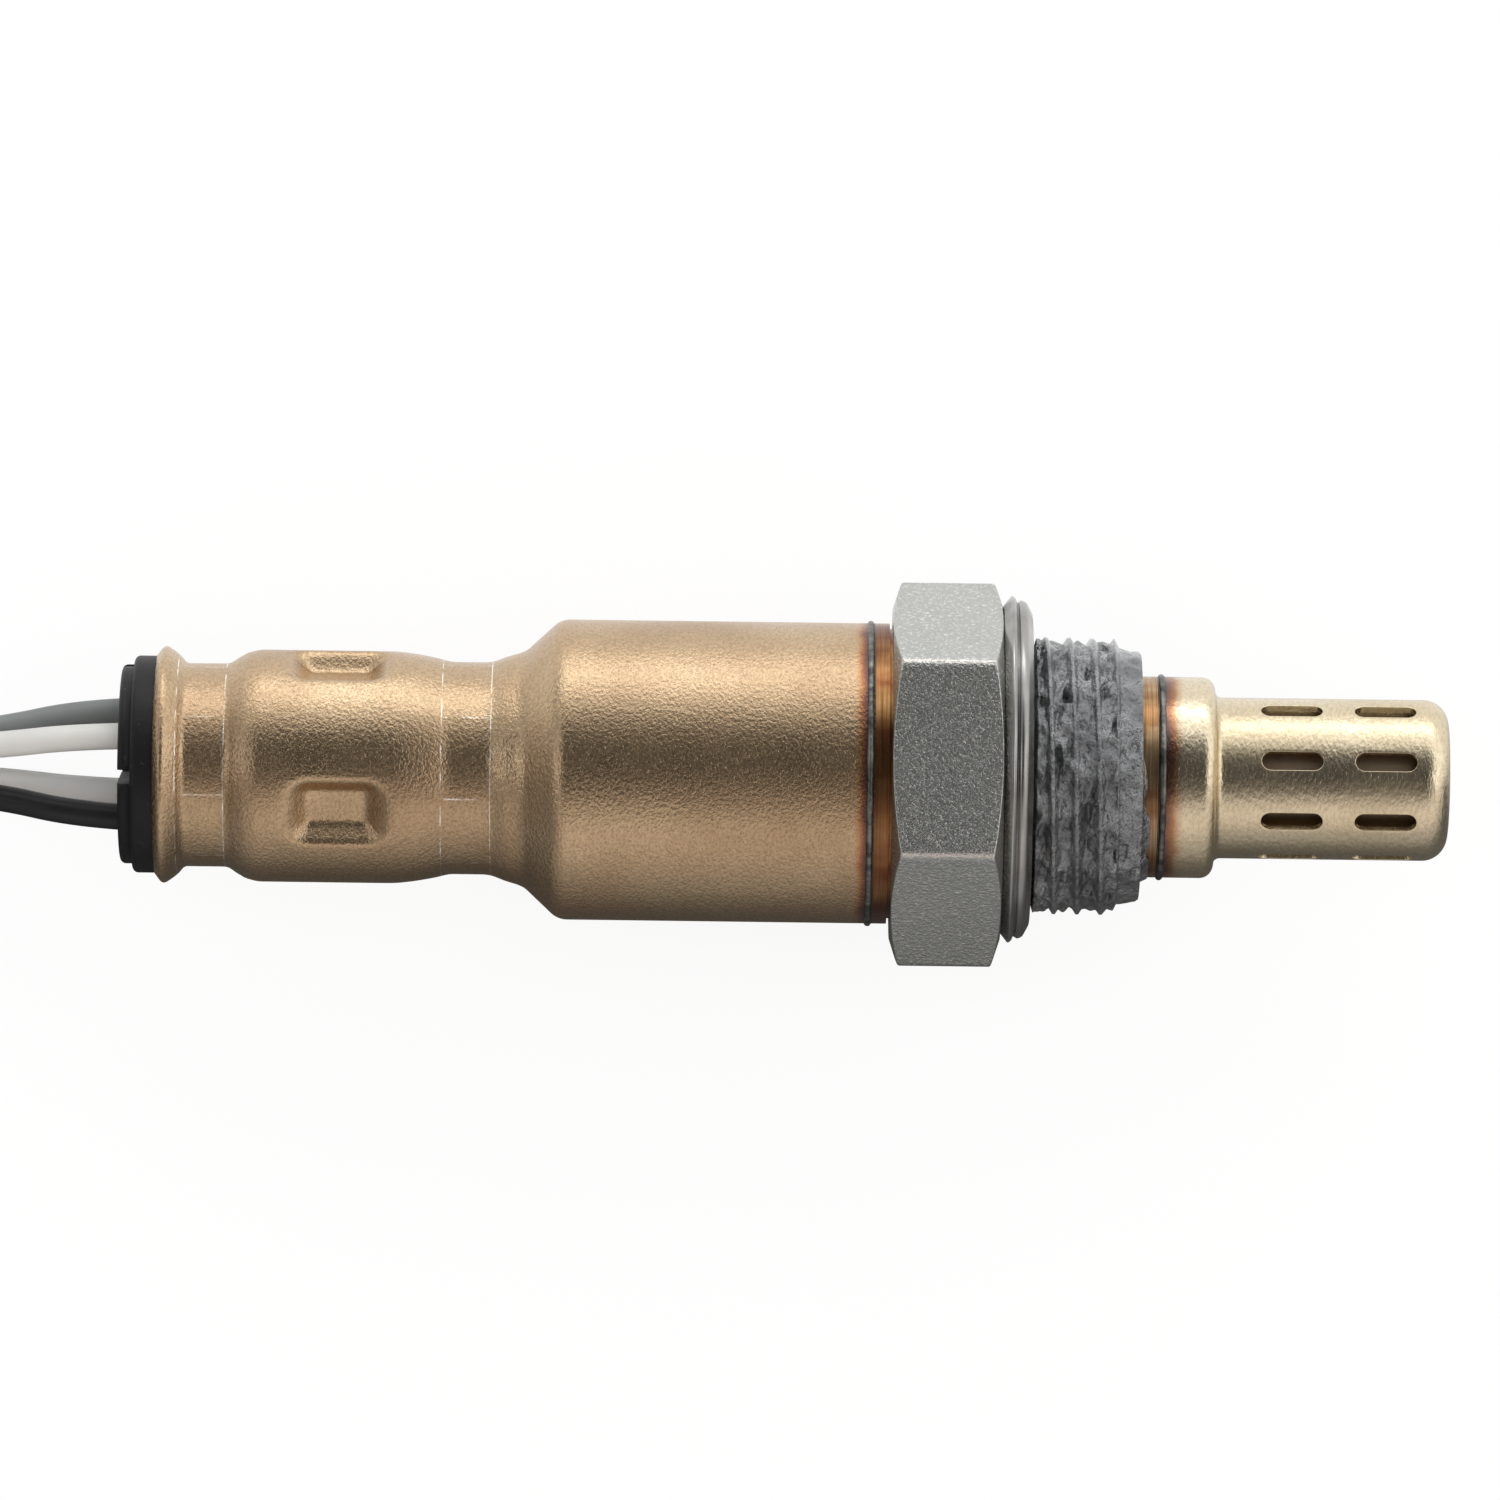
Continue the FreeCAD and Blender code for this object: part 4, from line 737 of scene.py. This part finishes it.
def gold_steel(name, bright, deep, rough, grain_mm, depth_mm, blasted, weld_x, tint_mm, marks=()):
    """Stainless steel with a thin gold temper colour. Its grain is blasted round or, for a share below 1,
    drawn out round the axis. Towards the weld the colour runs through straw, copper and purple. Jaw marks
    are bare bright lines."""
    made, tree, surface, place = finish_base(name, bright, Metallic=1.0, Roughness=rough)
    drawn = add(tree, "Mapping", {"Vector": place, "Scale": (1, blasted, blasted)})
    pits = add(tree, "TexNoise", {"Vector": drawn, "Scale": grain(grain_mm), "Roughness": 0.6})
    clouds = add(tree, "TexNoise", {"Vector": place, "Scale": grain(3.5), "Detail": 4.0})
    cloud = add(tree, "MapRange", [clouds, 0.32, 0.68, 0.0, 1.0])
    tone = add(tree, "Mix", {0: cloud, 6: bright, 7: deep}, out=2, data_type="RGBA")
    speck = add(tree, "MapRange", [pits, 0.3, 0.62, 0.6 * blasted, 0.0])
    tone = add(tree, "Mix", {0: speck, 6: tone, 7: "a8a49e"}, out=2, data_type="RGBA", blend_type="MULTIPLY")
    along = add(tree, "SeparateXYZ", [place], out="X")
    wisps = add(tree, "TexNoise", {"Vector": place, "Scale": grain(0.8), "Detail": 3.0})
    wander = add(tree, "MapRange", [wisps, 0.2, 0.8, -0.2 * mm, 0.2 * mm])
    near = add(tree, "Math", [along, wander], operation="ADD")
    heat = add(tree, "MapRange", [near, weld_x * mm, (weld_x + tint_mm) * mm, 0.0, 1.0])
    temper = add(tree, "ValToRGB", [heat], stops=(
        (0.0, "3a302e"), (0.15, "50383c"), (0.3, "7c4c40"), (0.5, "a9764f"), (1.0, bright)))
    heated = add(tree, "MapRange", [heat, 0.45, 1.0, 0.9, 0.0])
    tone = add(tree, "Mix", {0: heated, 6: tone, 7: temper}, out=2, data_type="RGBA")
    if marks:
        jaw = add(tree, "Attribute", out="Fac", attribute_name="jaw_edge")
        pressed = add(tree, "MapRange", [jaw, 0.03, 0.07, 1.0, 0.0])
        for mark in marks:
            beside = add(tree, "Math", [along, mark * mm, 0.035 * mm], operation="COMPARE")
            pressed = add(tree, "Math", [pressed, beside], operation="MAXIMUM")
        gaps = add(tree, "TexNoise", {"Vector": place, "Scale": grain(0.5), "Detail": 3.0})
        dashes = add(tree, "MapRange", [gaps, 0.4, 0.65, 0.0, 1.0])
        pressed = add(tree, "Math", [pressed, dashes], operation="MULTIPLY")
        tone = add(tree, "Mix", {0: pressed, 6: tone, 7: "fbf3e6"}, out=2, data_type="RGBA")
    tree.links.new(tone, surface["Base Color"])
    add(tree, "MapRange", [clouds, 0.3, 0.7, rough - 0.04, rough + 0.06], to=surface["Roughness"])
    add(tree, "Bump", {"Height": pits, "Distance": depth_mm * mm}, to=surface["Normal"])
    return made


sleeve_r = formed_sleeve()
bronze = gold_steel("blasted_bronze_gold_steel", "ccb290", "bca080", 0.28, 0.09, 0.06, 0.75, -10.4, -1.2,
                    jaw_marks)
sleeve = grid_mesh("drawn_sleeve", turned(sleeve_line, sleeve_r), bronze, crease=60)
jaw_edge = np.broadcast_to(np.abs(from_middle(jaw_count, 22.5))[None] * 7, sleeve_r.shape).copy()
in_rear_jaws = (sleeve_line[:, 0] > -54.6) & (sleeve_line[:, 0] < -51.6)
in_front_jaws = (sleeve_line[:, 0] > -37.7) & (sleeve_line[:, 0] < -34.7)
jaw_edge[~(in_rear_jaws | in_front_jaws)] = 1.0
sleeve.data.attributes.new("jaw_edge", "FLOAT", "POINT").data.foreach_set("value", jaw_edge.ravel())
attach(sleeve, "root")
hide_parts("outer_sleeve")


bead_r = 0.23
bead_sink = 0.08
bead_sides = 16
bead_steps = 480


def welded_steel():
    """Steel melted by the laser and sooty from it: grey, rough and wrinkled."""
    made, tree, surface, place = finish_base("laser_weld_steel", "6a6864", Metallic=1.0, Roughness=0.42)
    soot = add(tree, "TexNoise", {"Vector": place, "Scale": grain(0.5), "Detail": 3.0})
    sooty = add(tree, "MapRange", [soot, 0.35, 0.65, 0.0, 1.0])
    add(tree, "Mix", {0: sooty, 6: "4d4b49", 7: "8f8c86"}, out=2, to=surface["Base Color"], data_type="RGBA")
    wrinkles = add(tree, "TexNoise", {"Vector": place, "Scale": grain(0.1), "Detail": 3.0})
    add(tree, "Bump", {"Height": wrinkles, "Distance": 0.03 * mm}, to=surface["Normal"])
    return made


def weld_ring(name, x, radius, scales):
    """A laser weld: a low round bead all round, its surface in overlapping scales."""
    angles = np.arange(bead_steps) * 2 * math.pi / bead_steps
    bead = np.arange(bead_sides)[:, None] * 2 * math.pi / bead_sides
    ripple = 1 + 0.1 * np.abs(np.sin(angles * scales / 2)) + 0.05 * np.sin(angles * 7 + 1.0)
    r = radius - bead_sink + bead_r * np.cos(bead) * ripple
    across = x + bead_r * np.sin(bead) * (1 + 0.06 * np.sin(angles * 23 + 2.0))
    points = np.stack((across, r * np.sin(angles), r * np.cos(angles)), -1) * mm
    made = grid_mesh(name, points[::-1], weld_metal, crease=70)
    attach(made, "root")
    return made


weld_metal = welded_steel()
weld_ring("rear_weld", -10.37, 9.65, 120)


# The outer protector: a drawn stainless cup with two rows of eight punched slots and a hole in its tip,
# pale gold and shinier than the sleeve. It is pushed over the shell's spigot and laser-welded.
cup_wall = 0.4
cup_r = 5.17
slot_count = 8
slot_first_angle = math.radians(7.4)
slot_half_width = 0.6
slot_half_run = 1.365
slot_middles = (16.65, 22.65)
slot_round = 0.05
cell_ends = (13.6, 19.65, 25.0)
cell_half = math.pi * cup_r / slot_count
steps_around = 24
steps_along = 28


def slot_cell(middle_x, start_x, end_x, middle_angle):
    """The piece of tube round one slot. Rows run from the cell's edge in to the slot, over its rounded rim,
    through the wall and back out inside; columns go round the cell."""
    x = np.linspace(start_x, end_x, steps_along + 1) - middle_x
    s = np.linspace(-cell_half, cell_half, steps_around + 1)
    edge = np.vstack((np.stack((x[:-1], np.full(steps_along, -cell_half)), 1),
                      np.stack((np.full(steps_around, x[-1]), s[:-1]), 1),
                      np.stack((x[:0:-1], np.full(steps_along, cell_half)), 1),
                      np.stack((np.full(steps_around, x[0]), s[:0:-1]), 1)))
    core = np.stack((np.clip(edge[:, 0], -slot_half_run, slot_half_run), np.zeros(len(edge))), 1)
    reach = np.linalg.norm(edge - core, axis=1, keepdims=True)
    way = (edge - core) / reach
    share = np.array((1, 0.8, 0.6, 0.42, 0.26, 0.12, 0, 0, 0, 0, 0, 0, 0.02, 0.12, 0.3, 0.6, 1.0))[:, None]
    close = slot_round * np.array((1, 1, 1, 1, 1, 1, 1, 0.62, 0.3, 0.08, 0, 0, 0.3, 1, 1, 1, 1))[:, None]
    drop = slot_round - np.sqrt(np.clip(slot_round ** 2 - (slot_round - close) ** 2, 0, None))
    depth = drop[:, 0].copy()
    depth[11:] = cup_wall
    away = close + share * (reach[:, 0] - slot_half_width - slot_round)[None]
    spot = core[None] + way[None] * (slot_half_width + away)[..., None]
    angle = middle_angle + spot[..., 1] / cup_r
    r = (cup_r - depth)[:, None]
    return np.stack((middle_x + spot[..., 0], r * np.sin(angle), r * np.cos(angle)), -1) * mm


def punched_cup():
    """Collar, both rows of cells and the tip, as one set of points and quads."""
    steps = np.arange(slot_count * steps_around)
    angles = slot_first_angle - math.pi / slot_count + steps * 2 * math.pi / len(steps)
    collar_line = rounded_line([
        (cell_ends[0], cup_r), (11.78, cup_r, 0.44), (11.78, 6.46, 0.85), (8.03, 6.46, 0.05), (8.03, 6.06),
        (11.38, 6.06, 0.45), (11.38, cup_r - cup_wall, 0.8), (cell_ends[0], cup_r - cup_wall)], 0.15,
        closed=False)
    tip_line = rounded_line([
        (cell_ends[2], cup_r - cup_wall), (26.4, cup_r - cup_wall, 1.2), (26.4, 1.25), (26.8, 1.25, 0.08),
        (26.8, cup_r, 1.6), (cell_ends[2], cup_r)], 0.15, closed=False)
    grids = [(turned(line, angles=angles), False, True) for line in (collar_line, tip_line)]
    for middle_x, start_x, end_x in zip(slot_middles, cell_ends, cell_ends[1:]):
        for turn in range(slot_count):
            middle_angle = slot_first_angle + turn * 2 * math.pi / slot_count
            grids.append((slot_cell(middle_x, start_x, end_x, middle_angle), False, True))
    points = np.vstack([grid.reshape(-1, 3) for grid, rows, columns in grids])
    starts = np.cumsum([0] + [grid.shape[0] * grid.shape[1] for grid, rows, columns in grids])
    quads = np.vstack([grid_quads(grid.shape[:2], rows, columns) + start
                       for (grid, rows, columns), start in zip(grids, starts)])
    return points, quads


def sealed(thing):
    """Merges a mesh's doubles and turns its faces outwards."""
    build = bmesh.new()
    build.from_mesh(thing.data)
    bmesh.ops.remove_doubles(build, verts=build.verts, dist=0.002 * mm)
    bmesh.ops.recalc_face_normals(build, faces=build.faces)
    build.to_mesh(thing.data)
    build.free()
    thing.data.set_sharp_from_angle(angle=math.radians(50))


pale_gold = gold_steel("drawn_pale_gold_steel", "e4d6ba", "d8c8a8", 0.24, 0.1, 0.04, 0.5, 8.3, 1.6)
cup = quad_mesh("punched_cup", *punched_cup(), pale_gold)
sealed(cup)
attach(cup, "root")
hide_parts("outer_protector")
weld_ring("front_weld", 8.33, 6.46, 84)


# The grommet: black fluoro-rubber squeezed by the rear crimp, its four pads and cross groove outside.
# Rubber from a mould is dull, and this one is rubbed and dusty at its edges.
def moulded_rubber():
    """Moulded rubber: nearly black, with small pale scuffs and a fine pitted grain."""
    made, tree, surface, place = finish_base("moulded_black_rubber", "131315", Roughness=0.5,
                                             Specular_IOR_Level=0.3)
    rubs = add(tree, "TexNoise", {"Vector": place, "Scale": grain(0.25), "Detail": 4.0, "Roughness": 0.7})
    scuff = add(tree, "MapRange", [rubs, 0.62, 0.72, 0.0, 0.35])
    add(tree, "Mix", {0: scuff, 6: "121214", 7: "6a6a6a"}, out=2, to=surface["Base Color"], data_type="RGBA")
    pits = add(tree, "TexNoise", {"Vector": place, "Scale": grain(0.2), "Detail": 3.0})
    add(tree, "Bump", {"Height": pits, "Distance": 0.02 * mm}, to=surface["Normal"])
    return made


grommet = smooth_copy("grommet", moulded_rubber())


# What is inside: the zirconia thimble with its heater, packing, powder seal, bush and caulking ring, the
# carrier with its spring and contacts, and the inner cup that shows brown through the slots.
def sintered(name, colour, shade):
    """Sintered ceramic or pressed powder: chalky, with a faint mottle and a sandy surface."""
    made, tree, surface, place = finish_base(name, colour, Roughness=0.7)
    mottles = add(tree, "TexNoise", {"Vector": place, "Scale": grain(0.8), "Detail": 4.0})
    mottled = add(tree, "MapRange", [mottles, 0.35, 0.65, 0.0, 1.0])
    add(tree, "Mix", {0: mottled, 6: colour, 7: shade}, out=2, to=surface["Base Color"], data_type="RGBA")
    sand = add(tree, "TexNoise", {"Vector": place, "Scale": grain(0.1)})
    add(tree, "Bump", {"Height": sand, "Distance": 0.01 * mm}, to=surface["Normal"])
    return made


inner_steel = rolled_steel("browned_drawn_steel", "c2ae94", "857361", 0.42)
strip = rolled_steel("nickel_plated_strip", "cfcbc1", "a59f92", 0.25)
zirconia = sintered("zirconia", "e6e1d3", "d4ccb8")
alumina = sintered("alumina", "efece4", "dedacf")
finishes = {
    "inner_protector": inner_steel, "packing_ring": inner_steel, "caulking_ring": inner_steel,
    "carrier_spring": strip, "contact_heater_a": strip, "contact_heater_b": strip, "contact_signal": strip,
    "contact_ground": strip, "socket_heater_a": strip, "socket_heater_b": strip, "socket_signal": strip,
    "socket_ground": strip, "zirconia_element": zirconia, "heater_rod": alumina, "contact_carrier": alumina,
    "ceramic_bush": alumina, "talc_seal": sintered("pressed_talc", "cfccc0", "b9b5a6")}
for node_name, material in finishes.items():
    for material_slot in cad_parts[node_name].material_slots:
        material_slot.material = material
